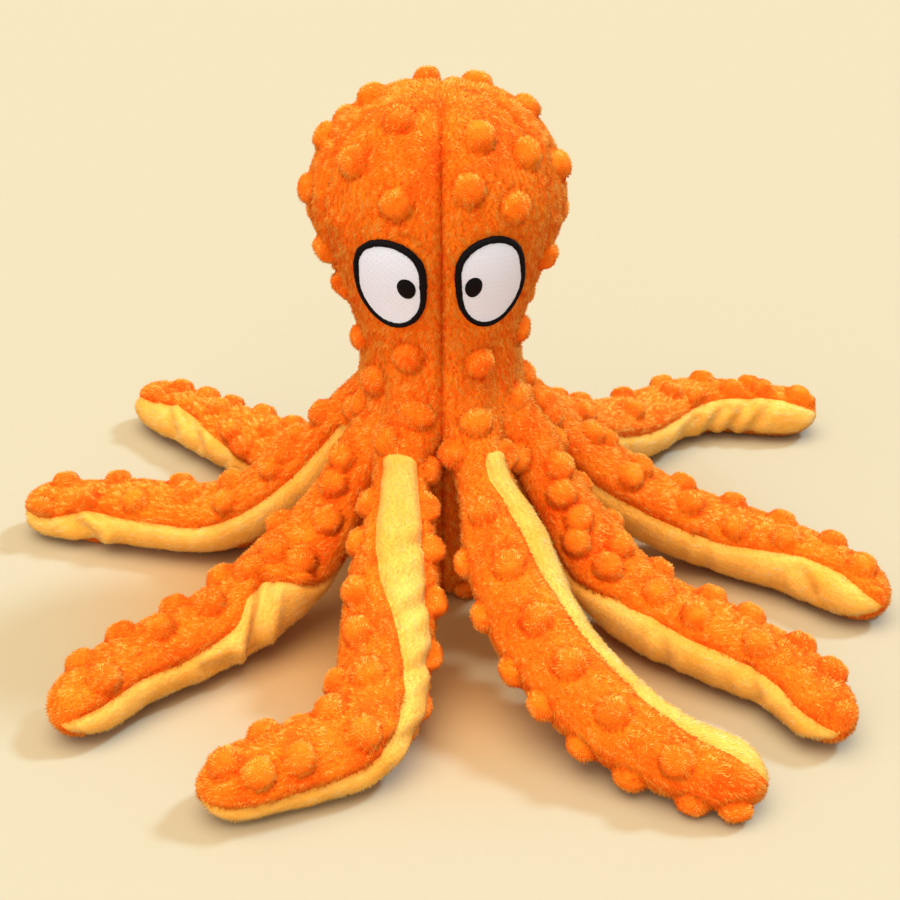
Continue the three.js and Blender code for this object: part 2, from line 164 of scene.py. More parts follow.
def level(degrees):
    # a level direction, its angle counted from the front: (sin a, -cos a, 0)
    a = np.radians(degrees)
    return np.stack([np.sin(a), -np.cos(a), np.zeros_like(a)], -1)


def softNoise(points, size, seed):
    # smooth noise from -1 to 1: hashed values at the corners of cells of that size, blended by smooth steps
    q = points / size + 31.7 * seed
    cell = np.floor(q).astype(np.int64)
    share = smooth(q - cell)
    total = np.zeros(q.shape[:-1])
    for corner in itertools.product((0, 1), repeat=3):
        c = cell + np.array(corner)
        h = (c[..., 0] * 73856093) ^ (c[..., 1] * 19349663) ^ (c[..., 2] * 83492791) ^ (seed * 40503)
        h = ((h ^ (h >> 15)) * 2246822519) & 0xFFFFFFFF
        h = ((h ^ (h >> 13)) * 3266489917) & 0xFFFFFFFF
        value = ((h ^ (h >> 16)) & 0xFFFF) / 32767.5 - 1
        total += value * np.prod(np.where(np.array(corner) == 1, share, 1 - share), -1)
    return total


def noiseVector(points, size, seed):
    # three soft noises as the parts of a vector
    return np.stack([softNoise(points, size, seed + k) for k in range(3)], -1)


def makeMesh(name, vertices, loops, sizes, uv=None, values=None, material=None, normals=None):
    # vertices (n, 3) in mm; loops lists the faces' corners one after another, sizes how many each has
    mesh = bpy.data.meshes.new(name)
    mesh.vertices.add(len(vertices))
    mesh.vertices.foreach_set("co", (np.asarray(vertices, float) * mm).astype(np.float32).ravel())
    mesh.loops.add(len(loops))
    mesh.loops.foreach_set("vertex_index", np.asarray(loops, np.int32))
    mesh.polygons.add(len(sizes))
    sizes = np.asarray(sizes, np.int32)
    mesh.polygons.foreach_set("loop_start", np.cumsum(sizes, dtype=np.int32) - sizes)
    mesh.polygons.foreach_set("use_smooth", np.ones(len(sizes), bool))
    mesh.update(calc_edges=True)
    if uv is not None:
        layer = mesh.uv_layers.new(name="OFBake")
        layer.data.foreach_set("uv", np.asarray(uv, np.float32).ravel())
    for key, value in (values or {}).items():
        layer = mesh.attributes.new(key, "FLOAT", "POINT")
        layer.data.foreach_set("value", np.asarray(value, np.float32).ravel())
    if normals is not None:
        mesh.normals_split_custom_set_from_vertices(normals)
    if material:
        mesh.materials.append(material)
    thing = bpy.data.objects.new(name, mesh)
    bpy.context.collection.objects.link(thing)
    return thing


def gridNormals(points, near):
    # unit cross product of the two grid directions, on the side that most of the near normals are on
    facing = unit(np.cross(np.gradient(points, axis=1), np.gradient(points, axis=0)))
    return facing if np.einsum("ijk,ijk->", facing, near) > 0 else -facing


def gridCorners(rows, columns):
    # the four corners of every face of a grid, as (row, column), going round
    r, k = np.meshgrid(np.arange(rows), np.arange(columns), indexing="ij")
    return [(r, k), (r, k + 1), (r + 1, k + 1), (r + 1, k)]


def cornerNumbers(corners, rows, columns, first=0):
    # vertex numbers of those corners, first + row * columns + column; past the last comes the first again
    numbers = [row % rows * columns + column % columns for row, column in corners]
    return first + np.stack(numbers, -1).reshape(-1, 4)


# a sheet's own map in shares of its square: outer face on the left, inner face on the right, rims and
# end caps in thin bands
sheetMap = {"outer": (0.005, 0.78), "inner": (0.8, 0.975), "rim": 0.995, "rows": (0.03, 0.97),
            "firstCap": (0.004, 0.02), "lastCap": (0.99, 0.998)}


def shell(name, outer, inner, material, values=None, facing=None):
    # a closed sheet: outer columns forward and inner columns back make one ring a row, both ends capped;
    # facing gives the outer side's own normals, so that two sheets that meet end to end show no line
    rows, columns = outer.shape[:2]
    ring = np.concatenate([outer, inner[:, ::-1]], 1)
    around = 2 * columns
    corners = gridCorners(rows - 1, around)
    c = np.arange(columns - 1)
    start = np.stack([c + 1, c, around - 1 - c, around - 2 - c], -1)
    last = (rows - 1) * around
    end = np.stack([last + c, last + c + 1, last + around - 2 - c, last + around - 1 - c], -1)
    quads = np.concatenate([cornerNumbers(corners, rows, around), start, end])
    faces = [np.linspace(*sheetMap[side], columns) for side in ("outer", "inner")]
    over = np.concatenate([*faces, [sheetMap["rim"]]])
    up = np.linspace(*sheetMap["rows"], rows)

    def mapped(places):
        return np.stack([np.stack(place, -1) for place in places], -2).reshape(-1, 4, 2)

    def band(low, high):
        low, high = 0 * c + low, 0 * c + high
        return mapped([(over[c + 1], low), (over[c], low), (over[c], high), (over[c + 1], high)])

    uv = np.concatenate([mapped([(over[column], up[row]) for row, column in corners]),
                         band(*sheetMap["firstCap"]), band(*sheetMap["lastCap"])[:, [1, 0, 3, 2]]])
    flat = ring.reshape(-1, 3)
    a, b, d, e = (flat[quads[:, i]] for i in range(4))
    volume = np.einsum("ij,ij->", a, np.cross(b, d)) + np.einsum("ij,ij->", a, np.cross(d, e))
    if volume < 0:
        quads, uv = quads[:, ::-1], uv[:, ::-1]
    spread = {key: np.concatenate([v, v[:, ::-1]], 1) for key, v in (values or {}).items()}
    own = None if facing is None else np.concatenate([facing, -facing[:, ::-1]], 1).reshape(-1, 3)
    return makeMesh(name, flat, quads.ravel(), np.full(len(quads), 4), uv, spread, material, own)


# a bump's button, its edge and top the powers that shape it, and the crease round its foot; gap, along and
# across space the bumps that the photo doesn't show, whose rows run from belowCrown to aboveFloor on the bag
# and from pastDome back to pastRoot on an arm
bumps = {"radius": 5.7, "height": 4.0, "edge": 3.4, "top": 0.65, "crease": 0.5, "creaseAt": 1.15,
         "creaseWide": 0.2, "gap": 16.5, "along": 20.5, "across": 17.5, "belowCrown": 9, "aboveFloor": 6,
         "pastDome": 6, "pastRoot": 16}
# the pile on a bump: where it ends in radii, how it is brushed, how much shorter it grows, the painted
# highlight on the bump, and the painted shade in the crease round its foot, where it lies and how wide
bumpNap = {"edge": 1.12, "fade": 0.3, "outward": 0.15, "halfWay": 0.5, "down": 0.9, "paintedHighlight": 0.14,
           "shorter": 0.35, "creasePaintedShade": 0.38, "darkAt": 1.14, "darkWide": 0.17}


def bumpLift(points, centres):
    # a button over each centre: height * (1 - (d / radius)^edge)^top within the radius, the highest one
    # counts; round its foot the cloth is drawn in, crease * exp(-((d / radius - creaseAt) / creaseWide)^2)
    lift, crease = np.zeros((2, *points.shape[:-1]))
    for middle in centres:
        d = np.linalg.norm(points - middle, axis=-1) / bumps["radius"]
        button = np.clip(1 - d ** bumps["edge"], 0, 1) ** bumps["top"]
        foot = np.exp(-((d - bumps["creaseAt"]) / bumps["creaseWide"]) ** 2)
        lift = np.maximum(lift, bumps["height"] * button)
        crease = np.maximum(crease, bumps["crease"] * foot)
    return lift - crease * (lift == 0)


def bumpPile(points, normals, centres, lay):
    # on a bump the pile is brushed from its middle outward and down over its rim, unit(away) * (outward +
    # halfWay * d (1 - d^3)) - normal * down * d^3, and shorter; it is lighter there, a painted highlight, and
    # deeper in the crease at its foot, painted shade
    paintedShading, length = np.zeros(points.shape[:-1]), np.ones(points.shape[:-1])
    for middle in centres:
        away = points - middle
        away = away - normals * np.einsum("...i,...i->...", away, normals)[..., None]
        d = np.linalg.norm(points - middle, axis=-1) / bumps["radius"]
        on = smooth((bumpNap["edge"] - d) / bumpNap["fade"])
        rim = np.clip(d, 0, 1)
        outward = bumpNap["outward"] + bumpNap["halfWay"] * rim * (1 - rim ** 3)
        brushed = unit(away) * outward[..., None] - normals * (bumpNap["down"] * rim ** 3)[..., None]
        lay = lay * (1 - on)[..., None] + brushed * on[..., None]
        foot = np.exp(-((d - bumpNap["darkAt"]) / bumpNap["darkWide"]) ** 2)
        paintedShading = paintedShading + bumpNap["paintedHighlight"] * on - bumpNap["creasePaintedShade"] * foot
        length = length - bumpNap["shorter"] * on
    return lay, paintedShading, length


# a fold's two side ridges, as a share of its depth and in its widths
ridges = {"height": 0.5, "at": 2.0, "wide": 0.9}


def foldLift(points, normals, folds):
    # along each picture segment a valley between two soft ridges, where the surface faces the camera:
    # -depth * (exp(-d^2) - height * exp(-((d - at) / wide)^2)), d in widths
    seen = inPicture(points)
    shown = smooth(facesCamera(points, normals) / 0.3)
    lift = np.zeros(points.shape[:-1])
    for x0, y0, x1, y1, depth, width in folds:
        run = np.array([x1 - x0, y1 - y0], float)
        share = np.clip(((seen - [x0, y0]) @ run) / (run @ run), 0, 1)
        away = np.linalg.norm(seen - np.array([x0, y0]) - share[..., None] * run, axis=-1) / width
        ridge = ridges["height"] * np.exp(-((away - ridges["at"]) / ridges["wide"]) ** 2)
        lift = lift - shown * depth * (np.exp(-away ** 2) - ridge)
    return lift


def pickedInPicture(pixels, points, normals):
    # the point of a surface that shows nearest each pixel, among those that face the camera
    flat = points.reshape(-1, 3)
    seen = inPicture(flat)
    turned = np.where(facesCamera(flat, normals.reshape(-1, 3)) > 0.02, 0, 1e6)
    return [flat[np.argmin(np.linalg.norm(seen - np.array(p), axis=-1) + turned)] for p in pixels]


def apart(found, candidates, gap):
    # adds each candidate that keeps the gap to all that are there
    for p in candidates:
        if not found or np.min(np.linalg.norm(np.array(found) - p, axis=-1)) >= gap:
            found.append(p)
    return found


# tufts in mm: density a square mm, width at the root, how far they lean along the cloth's lay, gather with
# their neighbours and stray; locks are wide and long, contrast is how far their painted highlight and shade
# reach
orangeTuft = {"density": 1.36, "length": 1.3, "width": 0.78, "lean": 0.8, "gather": 0.9, "stray": 0.12,
              "clump": 1.4, "lockWide": 1.05, "lockLong": 2.2, "contrast": 0.5, "sunk": 0.3}
yellowTuft = {"density": 1.2, "length": 1.2, "width": 0.54, "lean": 1.3, "gather": 0.6, "stray": 0.12,
              "clump": 1.8, "lockWide": 1.1, "lockLong": 2.8, "contrast": 0.32, "sunk": 0.3}
# for both: length = shortest + chance + lock shares; the shading turns by the tip and the side; floor is the
# height under which no tuft reaches; locks wave with the clumps, their noise is raised by lockGain
nap = {"shortest": 0.75, "byChance": 0.4, "byLock": 0.35, "byTip": 0.75, "bySide": 0.3, "floor": 0.12,
       "lockWave": 0.4, "lockGain": 1.2, "shadeByChance": 0.07}


def pile(name, points, normals, lay, paintedShading, cut, allowed, look, material):
    # tufts: root = bilinear point of a grid cell, tip = root + length * unit(normal + lean * lay + noise);
    # neighbours form locks: one soft noise makes them longer and lighter together, a painted highlight on the
    # locks with painted shade between them, and another leans them together; the bumps' and seams' painted
    # shading is
    # added; they are shaded mostly by the cloth's own normal, as a dense pile is:
    # unit(cloth + byTip * tip + bySide * side)
    p00, p01, p10, p11 = points[:-1, :-1], points[:-1, 1:], points[1:, :-1], points[1:, 1:]
    area = np.linalg.norm(np.cross(p11 - p00, p10 - p01), axis=-1) / 2
    wanted = area * look["density"] * (allowed[:-1, :-1] & allowed[1:, 1:])
    count = np.floor(wanted + chance.random(wanted.shape)).astype(int).ravel()
    cell = np.repeat(np.arange(count.size), count)
    total = len(cell)
    # even steps over a cell: powers of the inverse of the plastic number
    s = (np.arange(total) * 0.7548776662 + 0.3) % 1
    t = (np.arange(total) * 0.5698402910 + 0.6) % 1

    def mixed(grid):
        g = [grid[:-1, :-1], grid[:-1, 1:], grid[1:, :-1], grid[1:, 1:]]
        g = [v.reshape(-1, v.shape[-1])[cell] for v in g]
        s1, t1 = s[:, None], t[:, None]
        return (g[0] * (1 - s1) + g[1] * s1) * (1 - t1) + (g[2] * (1 - s1) + g[3] * s1) * t1

    root, out, along = mixed(points), unit(mixed(normals)), mixed(lay)
    clump = noiseVector(root, look["clump"], 11)
    # locks are long along the rows: the noise is read at (column / wide, row / long) in mm
    columns = wanted.shape[1]
    over = (cell % columns + s) * np.linalg.norm(p01 - p00, axis=-1).mean() / look["lockWide"]
    down = (cell // columns + t) * np.linalg.norm(p10 - p00, axis=-1).mean() / look["lockLong"]
    place = np.stack([over, down + nap["lockWave"] * clump[:, 0], 0 * over], -1)
    lock = np.clip(nap["lockGain"] * softNoise(place, 1, 17), -1, 1)
    stray = chance.normal(size=root.shape)
    toTip = unit(out + look["lean"] * along + look["gather"] * clump + look["stray"] * stray)
    length = nap["shortest"] + nap["byChance"] * chance.random(total) + nap["byLock"] * lock
    length = look["length"] * length * mixed(cut[..., None])[:, 0]
    side = unit(np.cross(toTip, unit(chance.normal(size=root.shape))))
    other = np.cross(toTip, side)
    base = root - out * look["sunk"]
    corners, shades = [], []
    for turn in np.arange(3) * 2 * math.pi / 3:
        aside = math.cos(turn) * side + math.sin(turn) * other
        corners.append(base + look["width"] / 2 * aside)
        shades.append(unit(out + nap["byTip"] * toTip + nap["bySide"] * aside))
    vertices = np.stack([*corners, root + toTip * length[:, None]], 1).reshape(-1, 3)
    vertices[:, 2] = np.maximum(vertices[:, 2], nap["floor"])
    shades = np.stack([*shades, unit(out + nap["byTip"] * toTip)], 1).reshape(-1, 3)
    faces = (np.arange(total)[:, None] * 4 + np.array([0, 1, 3, 1, 2, 3, 2, 0, 3, 2, 1, 0])).ravel()
    # shade: painted highlight and shade of the locks, random tint of each tuft, painted shading of bumps and
    # seams
    shade = 0.5 + look["contrast"] * lock + nap["shadeByChance"] * (chance.random(total) - 0.5)
    shade = shade + mixed(paintedShading[..., None])[:, 0]
    values = {"pileTintAndPaintedShading": np.repeat(np.clip(shade, 0, 1), 4), "pileTip": np.tile([0, 0, 0, 1], total)}
    sizes = np.full(4 * total, 3)
    return makeMesh(name, vertices, faces, sizes, values=values, material=material, normals=shades)


# Finishes

# each look: root is the colour of painted shade deep in the pile, in creases and seams, tip that of a painted
# highlight, middle the fleece's own dye
plushLook = {"root": "#DA3700", "middle": "#EC7B12", "tip": "#FCA94A", "sheen": 0.1, "sheenTint": "#FF9A50"}
stripLook = {"root": "#DE9428", "middle": "#F0B856", "tip": "#FAE0A2", "sheen": 0.15, "sheenTint": "#FFD890"}
# sizes in metres of the lighter and darker patches of pile and of the knit's grain
fleece = {"patch": 0.014, "grain": 0.0012}
# the same for the wadding's wisps and the plastic's mottle, with their two colours; the wadding's deeper one
# is painted shade in its hollows
fibre = {"wisp": 0.004, "hollow": "#D9D5CC", "wool": "#F7F5F0"}
squeaker = {"mottle": 0.003, "low": "#DEDBCF", "high": "#F0EEE6"}


def newMaterial(name):
    # an empty material, its node tree and the coordinates that its textures use
    material = bpy.data.materials.new(name)
    material.use_nodes = True
    tree = material.node_tree
    tree.nodes.clear()
    return material, tree, addNode(tree, "ShaderNodeTexCoord")


def colourSurface(tree, height, stops, settings, raised=None):
    # how every finish here ends: the height picks a colour between the stops, (place, colour) each, for a
    # principled surface; raised, where given, is what its bump follows, with the bump's strength and depth
    ramp = addNode(tree, "ShaderNodeValToRGB", links={"Fac": height})
    for stop in stops[1:-1]:
        ramp.color_ramp.elements.new(stop[0])
    for element, (place, colour) in zip(ramp.color_ramp.elements, stops):
        element.position = place
        element.color = linear(colour)
    links = {"Base Color": (ramp, 0)}
    if raised:
        source, strength, depth = raised
        bump = addNode(tree, "ShaderNodeBump", {"Strength": strength, "Distance": depth}, {"Height": source})
        links["Normal"] = (bump, 0)
    surface = addNode(tree, "ShaderNodeBsdfPrincipled", settings, links)
    addNode(tree, "ShaderNodeOutputMaterial", links={"Surface": (surface, 0)})


def fleeceShine(look, roughness, sheenRoughness):
    # dyed polyester: hardly any gloss, and the sheen of its own fleece
    return {"Roughness": roughness, "IOR": 1.5, "Specular IOR Level": 0.12, "Sheen Weight": look["sheen"],
            "Sheen Roughness": sheenRoughness, "Sheen Tint": linear(look["sheenTint"])}


def fleecePile(name, look):
    # cut polyester pile, its colour picked by a height: deep at each bundle's root, painted shade down in the
    # pile, lighter at its tip, a painted highlight; the shade attribute holds the bundles' own random tint
    # with the painted
    # shade and highlight of locks, bumps and seams, and patches differ a little:
    # 0.15 tip - 0.11 + 0.85 shade + 0.25 patch
    material, tree, place = newMaterial(name)
    tip = addNode(tree, "ShaderNodeAttribute", {"attribute_name": "pileTip"})
    shade = addNode(tree, "ShaderNodeAttribute", {"attribute_name": "pileTintAndPaintedShading"})
    patch = addNode(tree, "ShaderNodeTexNoise",
                    {"Scale": 1 / fleece["patch"], "Detail": 2.0, "Roughness": 0.55},
                    {"Vector": (place, "Object")})
    height = addNode(tree, "ShaderNodeMath", {"operation": "MULTIPLY_ADD", 1: 0.15, 2: -0.11},
                     {0: (tip, "Fac")})
    for share, source in ((0.85, shade), (0.25, patch)):
        height = addNode(tree, "ShaderNodeMath", {"operation": "MULTIPLY_ADD", 1: share},
                         {0: (source, "Fac"), 2: (height, 0)})
    stops = [(0, look["root"]), (0.5, look["middle"]), (1, look["tip"])]
    colourSurface(tree, (height, 0), stops, fleeceShine(look, 0.85, 0.4))
    return material


def fleeceBacking(name, look):
    # the knit under the pile, dyed with it and rough: seen only between the bundles, its colour is made
    # deeper as painted shade
    material, tree, place = newMaterial(name)
    grain = addNode(tree, "ShaderNodeTexNoise", {"Scale": 1 / fleece["grain"], "Detail": 3.0},
                    {"Vector": (place, "Object")})
    patch = addNode(tree, "ShaderNodeTexNoise", {"Scale": 1 / fleece["patch"], "Detail": 2.0},
                    {"Vector": (place, "Object")})
    height = addNode(tree, "ShaderNodeMath", {"operation": "MULTIPLY_ADD", 1: 0.5},
                     {0: (grain, "Fac"), 2: (patch, "Fac")})
    stops = [(0.35, look["root"]), (1, look["middle"])]
    colourSurface(tree, (height, 0), stops, fleeceShine(look, 0.9, 0.5), ((grain, "Fac"), 0.6, 0.0004))
    return material


def embroidery(name, colours, roughness, sheen):
    # rayon or polyester thread: the rows' own ridges are in the mesh, the thread's twist is a fine bump; the
    # colour is lighter on the ridges and deeper between them, painted shade in the grooves
    material, tree, place = newMaterial(name)
    row = addNode(tree, "ShaderNodeAttribute", {"attribute_name": "threadRowPaintedShade"})
    twist = addNode(tree, "ShaderNodeTexNoise", {"Scale": 1 / eyes["twist"], "Detail": 2.0},
                    {"Vector": (place, "Object")})
    height = addNode(tree, "ShaderNodeMath", {"operation": "MULTIPLY_ADD", 1: 0.35},
                     {0: (twist, "Fac"), 2: (row, "Fac")})
    settings = {"Roughness": roughness, "IOR": 1.5, "Specular IOR Level": 0.08, "Sheen Weight": sheen,
                "Sheen Roughness": 0.3}
    colourSurface(tree, (height, 0), list(enumerate(colours)), settings, ((twist, "Fac"), 0.5, 0.0002))
    return material


def looseFibre():
    # carded polyester wadding: white and very rough; the hollows between the wisps are deepened as painted
    # shade
    material, tree, place = newMaterial("polyesterWadding")
    wisp = addNode(tree, "ShaderNodeTexNoise",
                   {"Scale": 1 / fibre["wisp"], "Detail": 5.0, "Distortion": 1.5},
                   {"Vector": (place, "Object")})
    stops = [(0.3, fibre["hollow"]), (0.7, fibre["wool"])]
    settings = {"Roughness": 1.0, "Sheen Weight": 0.3}
    colourSurface(tree, (wisp, "Fac"), stops, settings, ((wisp, "Fac"), 0.8, 0.001))
    return material


def blownPlastic():
    # blow-moulded polythene of a squeaker: milky, satin, with the faint mottle of a cheap mould
    material, tree, place = newMaterial("blownPolythene")
    mottle = addNode(tree, "ShaderNodeTexNoise", {"Scale": 1 / squeaker["mottle"], "Detail": 3.0},
                     {"Vector": (place, "Object")})
    stops = [(0, squeaker["low"]), (1, squeaker["high"])]
    colourSurface(tree, (mottle, "Fac"), stops, {"Roughness": 0.42, "IOR": 1.51})
    return material


def matteFloor():
    # a matte paper sweep of pale cream, with a painted reflection of the toy's orange warming it near the toy
    material, tree, place = newMaterial("creamPaper")
    away = addNode(tree, "ShaderNodeVectorMath", {"operation": "LENGTH"}, {0: (place, "Object")})
    far = addNode(tree, "ShaderNodeMapRange",
                  {"interpolation_type": "SMOOTHSTEP", "From Min": paper["paintedBounceTo"],
                   "From Max": paper["plainFrom"]}, {"Value": (away, "Value")})
    stops = [(0, paper["near"]), (1, paper["far"])]
    colourSurface(tree, (far, 0), stops, {"Roughness": 0.9, "Specular IOR Level": 0.0})
    return material


# Head and body bag

# lengths in mm and seams in degrees from the front; leftFuller and bothFuller are shares of the width; the
# pile in the seams' grooves is darkened as painted shade, fading over seamShade
bag = {"crownHeight": 210, "headRadius": 45.5, "headHeight": 168, "neckRadius": 30.5, "neckHeight": 102,
       "bellyRadius": 31, "bellyHeight": 62, "baseRadius": 14, "neckRise": 1.25, "shoulder": 0.88,
       "leftFuller": 0.085, "bothFuller": 0.02, "fullerFrom": 75, "fullerOver": 60,
       "headSeam": 62, "neckSeam": 83, "pinch": 1.2, "grooveDepth": 2.2, "grooveWidth": 1.5, "grooveFrom": 12,
       "cell": 1.35, "last": 2.9995, "frontColumns": 40, "backColumns": 72, "cloth": 1.8, "lump": 0.7,
       "lumpSize": 24, "ripple": 0.25, "rippleSize": 9, "fillet": 11, "bridgeMost": 6, "lumpFade": 8,
       "bumpFade": 4, "bumpToSeam": 5.5, "faceFront": -18, "faceFrom": 100, "brushed": 0.5, "seamPaintedShade": 0.35,
       "seamShade": 3.5}
# each gore's side, whether it is in front, and the solid that it stands for
gorePieces = {"frontLeft": (-1, True, "front_left_gore"), "backLeft": (-1, False, "back_left_gore"),
              "frontRight": (1, True, "front_right_gore"), "backRight": (1, False, "back_right_gore")}

# where the bumps of the face side show in the picture, in pixels
faceBumps = [(429, 76), (478, 79), (372, 95), (527, 105), (399, 119), (479, 135), (322, 134), (526, 152),
             (355, 162), (560, 164), (309, 189), (469, 191), (395, 206), (515, 208), (322, 250), (546, 256),
             (341, 285), (359, 336), (523, 328), (407, 359), (479, 363), (373, 381), (511, 397), (360, 403),
             (416, 416), (477, 421), (515, 456)]

# soft folds of the face side: a segment's two ends in pixels, its depth in mm and width in pixels
faceFolds = [(360, 106, 411, 87, 0.9, 5), (324, 186, 332, 138, 0.9, 5), (332, 138, 357, 114, 0.8, 5),
             (501, 82, 530, 106, 0.8, 5), (552, 148, 556, 212, 0.8, 5), (331, 232, 349, 290, 0.7, 5),
             (373, 345, 388, 420, 0.7, 7), (500, 340, 489, 430, 0.7, 7), (404, 240, 436, 262, 0.5, 6)]


def climbed(height, low, high):
    # the share of the way from one of the bag's heights to another: (height - low) / (high - low)
    return (height - bag[low]) / (bag[high] - bag[low])


def outline(step):
    # radius and height: 0 to 1 a quarter ellipse up to the belly, 1 to 2 eased to the head, 2 to 3 its dome
    step = np.asarray(step, float)
    low = np.clip(step, 0, 1) * math.pi / 2
    lowRadius = between(bag["baseRadius"], bag["bellyRadius"], np.sin(low))
    lowHeight = bag["bellyHeight"] * (1 - np.cos(low))
    height = between(bag["bellyHeight"], bag["headHeight"], np.clip(step, 1, 2) - 1)
    rise = np.clip(climbed(height, "neckHeight", "headHeight"), 0, 1)
    waist = smooth(climbed(height, "bellyHeight", "neckHeight"))
    radius = between(bag["bellyRadius"], bag["neckRadius"], waist)
    radius = radius + (bag["headRadius"] - bag["neckRadius"]) * smooth(rise ** bag["neckRise"])
    high = (np.clip(step, 2, 3) - 2) * math.pi / 2
    topRadius = bag["headRadius"] * np.cos(high) ** bag["shoulder"]
    topHeight = between(bag["headHeight"], bag["crownHeight"], np.sin(high))
    radius = np.where(step < 1, lowRadius, np.where(step > 2, topRadius, radius))
    height = np.where(step < 1, lowHeight, np.where(step > 2, topHeight, height))
    return radius, height


def sideSeam(height):
    # the side seam's angle eases from the neck's to the head's
    return between(bag["neckSeam"], bag["headSeam"], smooth(climbed(height, "neckHeight", "headHeight")))


def bagRadius(height):
    # the outline's radius at a height, from the base to the crown
    radius, heights = outline(np.linspace(0, 3, 400))
    return np.interp(height, heights, radius)


def leftScale(x, height):
    # from the neck up the bag is fuller than its outline, most on the left as seen from the front
    fuller = bag["leftFuller"] * (x < 0) + bag["bothFuller"]
    return 1 + fuller * smooth((height - bag["fullerFrom"]) / bag["fullerOver"])


def outlineRun(steps):
    # running length along the outline
    radius, height = outline(steps)
    return np.concatenate([[0], np.cumsum(np.hypot(np.diff(radius), np.diff(height)))])


def outlineRows(cell, last):
    # steps that divide the outline into equal lengths
    fine = np.linspace(0, last, 1500)
    length = outlineRun(fine)
    return np.interp(np.linspace(0, length[-1], int(length[-1] / cell)), length, fine)


def bagPoint(angle, step, offset=0.0):
    # level(angle) * radius, moved out along the outline's normal, drawn in where a gore ends
    radius, height = outline(step)
    r0, h0 = outline(np.clip(step - 1e-3, 0, 3))
    r1, h1 = outline(np.clip(step + 1e-3, 0, 3))
    length = np.maximum(np.hypot(r1 - r0, h1 - h0), 1e-9)
    outward, upward = (h1 - h0) / length, (r0 - r1) / length
    seam = sideSeam(height)
    away = np.abs(angle)
    share = np.where(away < seam, away / seam, (away - seam) / (180 - seam))
    width = np.radians(np.where(away < seam, seam, 180 - seam)) * radius
    drawn = bag["pinch"] * (1 - np.sin(np.pi * share)) ** 3 * radius / bag["headRadius"]
    nearest = np.minimum(share, 1 - share) * width
    groove = bag["grooveDepth"] * np.exp(-(nearest / bag["grooveWidth"]) ** 2)
    drawn = drawn + groove * smooth(radius / bag["grooveFrom"])
    offset = offset - drawn
    ahead = level(angle)
    point = ahead * np.maximum(radius + outward * offset, 0.2)[..., None]
    point[..., 2] = height + upward * offset
    point[..., 0] *= leftScale(point[..., 0], point[..., 2])
    normal = ahead * outward[..., None]
    normal[..., 2] = upward
    return point, normal


def toTube(points, path):
    # distance to an arm's skin near its root: the least of |point - middle| - half size over its stations
    at = np.arange(path["start"], limb["tubeEnd"], limb["tubeStep"])
    middle, _, _, _, w, t = armFrame(path, at)
    flat = points.reshape(-1, 1, 3)
    near = np.linalg.norm(flat - middle[None], axis=-1) - (0.5 * (w + t))[None]
    return near.min(1).reshape(points.shape[:-1])


def filletLift(distance):
    # cloth bridges a corner: fillet / 4 * (1 - distance / fillet)^2 within the fillet's reach
    return bag["fillet"] / 4 * np.clip(1 - np.maximum(distance, 0) / bag["fillet"], 0, 1) ** 2


# an eye's edge and pupil are pixels of the picture; slant is how far its thread rows lean, in radians;
# clear to bare are shares of its edge: no bump of the rows within clear, none at all within clearOfShown,
# the bag is smooth within bed and has no pile within bare
eyes = {"left": {"side": -1, "slant": -0.12, "pupil": (406.8, 287.5),
                 "edge": [(381.5, 237), (406, 252.5), (422.5, 267.5), (431, 285.5), (426.5, 304),
                          (413.5, 320), (393.5, 326), (373.5, 315), (361.5, 294.5), (356.5, 271.5),
                          (358, 249.5), (366.5, 239.5)]},
        "right": {"side": 1, "slant": 0.62, "pupil": (473.2, 286),
                  "edge": [(497.5, 234.5), (513.5, 238.5), (522, 247.5), (523.5, 263.5), (518.5, 289.5),
                           (507.5, 315.5), (488.5, 325), (469.5, 317), (456.5, 301.5), (452, 283.5),
                           (457.5, 265.5), (475.5, 246.5)]},
        "clear": 1.55, "clearOfShown": 1.2, "bed": 1.08, "bare": 1.02, "lift": 0.9,
        "fillRings": 72, "fillTurns": 181, "fillThickness": 0.8, "fillCrown": 0.5, "fillUnderRim": 0.7,
        "rowPitch": 0.85, "rowHeight": 0.09, "rowPower": 0.6, "stitchLong": 3.4, "dip": 0.6, "dipWide": 0.06,
        "rimTurns": 720, "rimSides": 20, "rim": 2.5, "rimHeight": 1.6, "rimDepth": 0.6, "rimStitch": 0.07,
        "rimUneven": 0.13, "unevenSize": 0.8, "stitchPitch": 0.62, "stitchHeight": 0.12, "pupilRings": 26,
        "pupilTurns": 72, "pupilRadius": 3.1, "pupilTall": 1.42, "pupilLift": 0.45, "pupilCrown": 0.75,
        "pupilStitch": 0.1, "pupilSunk": 0.3, "pupilPeak": 0.8, "twist": 0.0007}


def stepAt(height):
    # the outline's step between belly and head: 1 + (height - belly) / (head - belly)
    return 1 + climbed(height, "bellyHeight", "headHeight")


def turnWaves(turn):
    # 1, cos t, sin t, cos 2t and sin 2t side by side
    return np.stack([np.ones_like(turn), np.cos(turn), np.sin(turn), np.cos(2 * turn), np.sin(2 * turn)], -1)


def eyeReach(shape, turn):
    # a0 + a1 cos t + b1 sin t + a2 cos 2t + b2 sin 2t, fitted to the picture's edge
    return turnWaves(turn) @ shape["fit"]


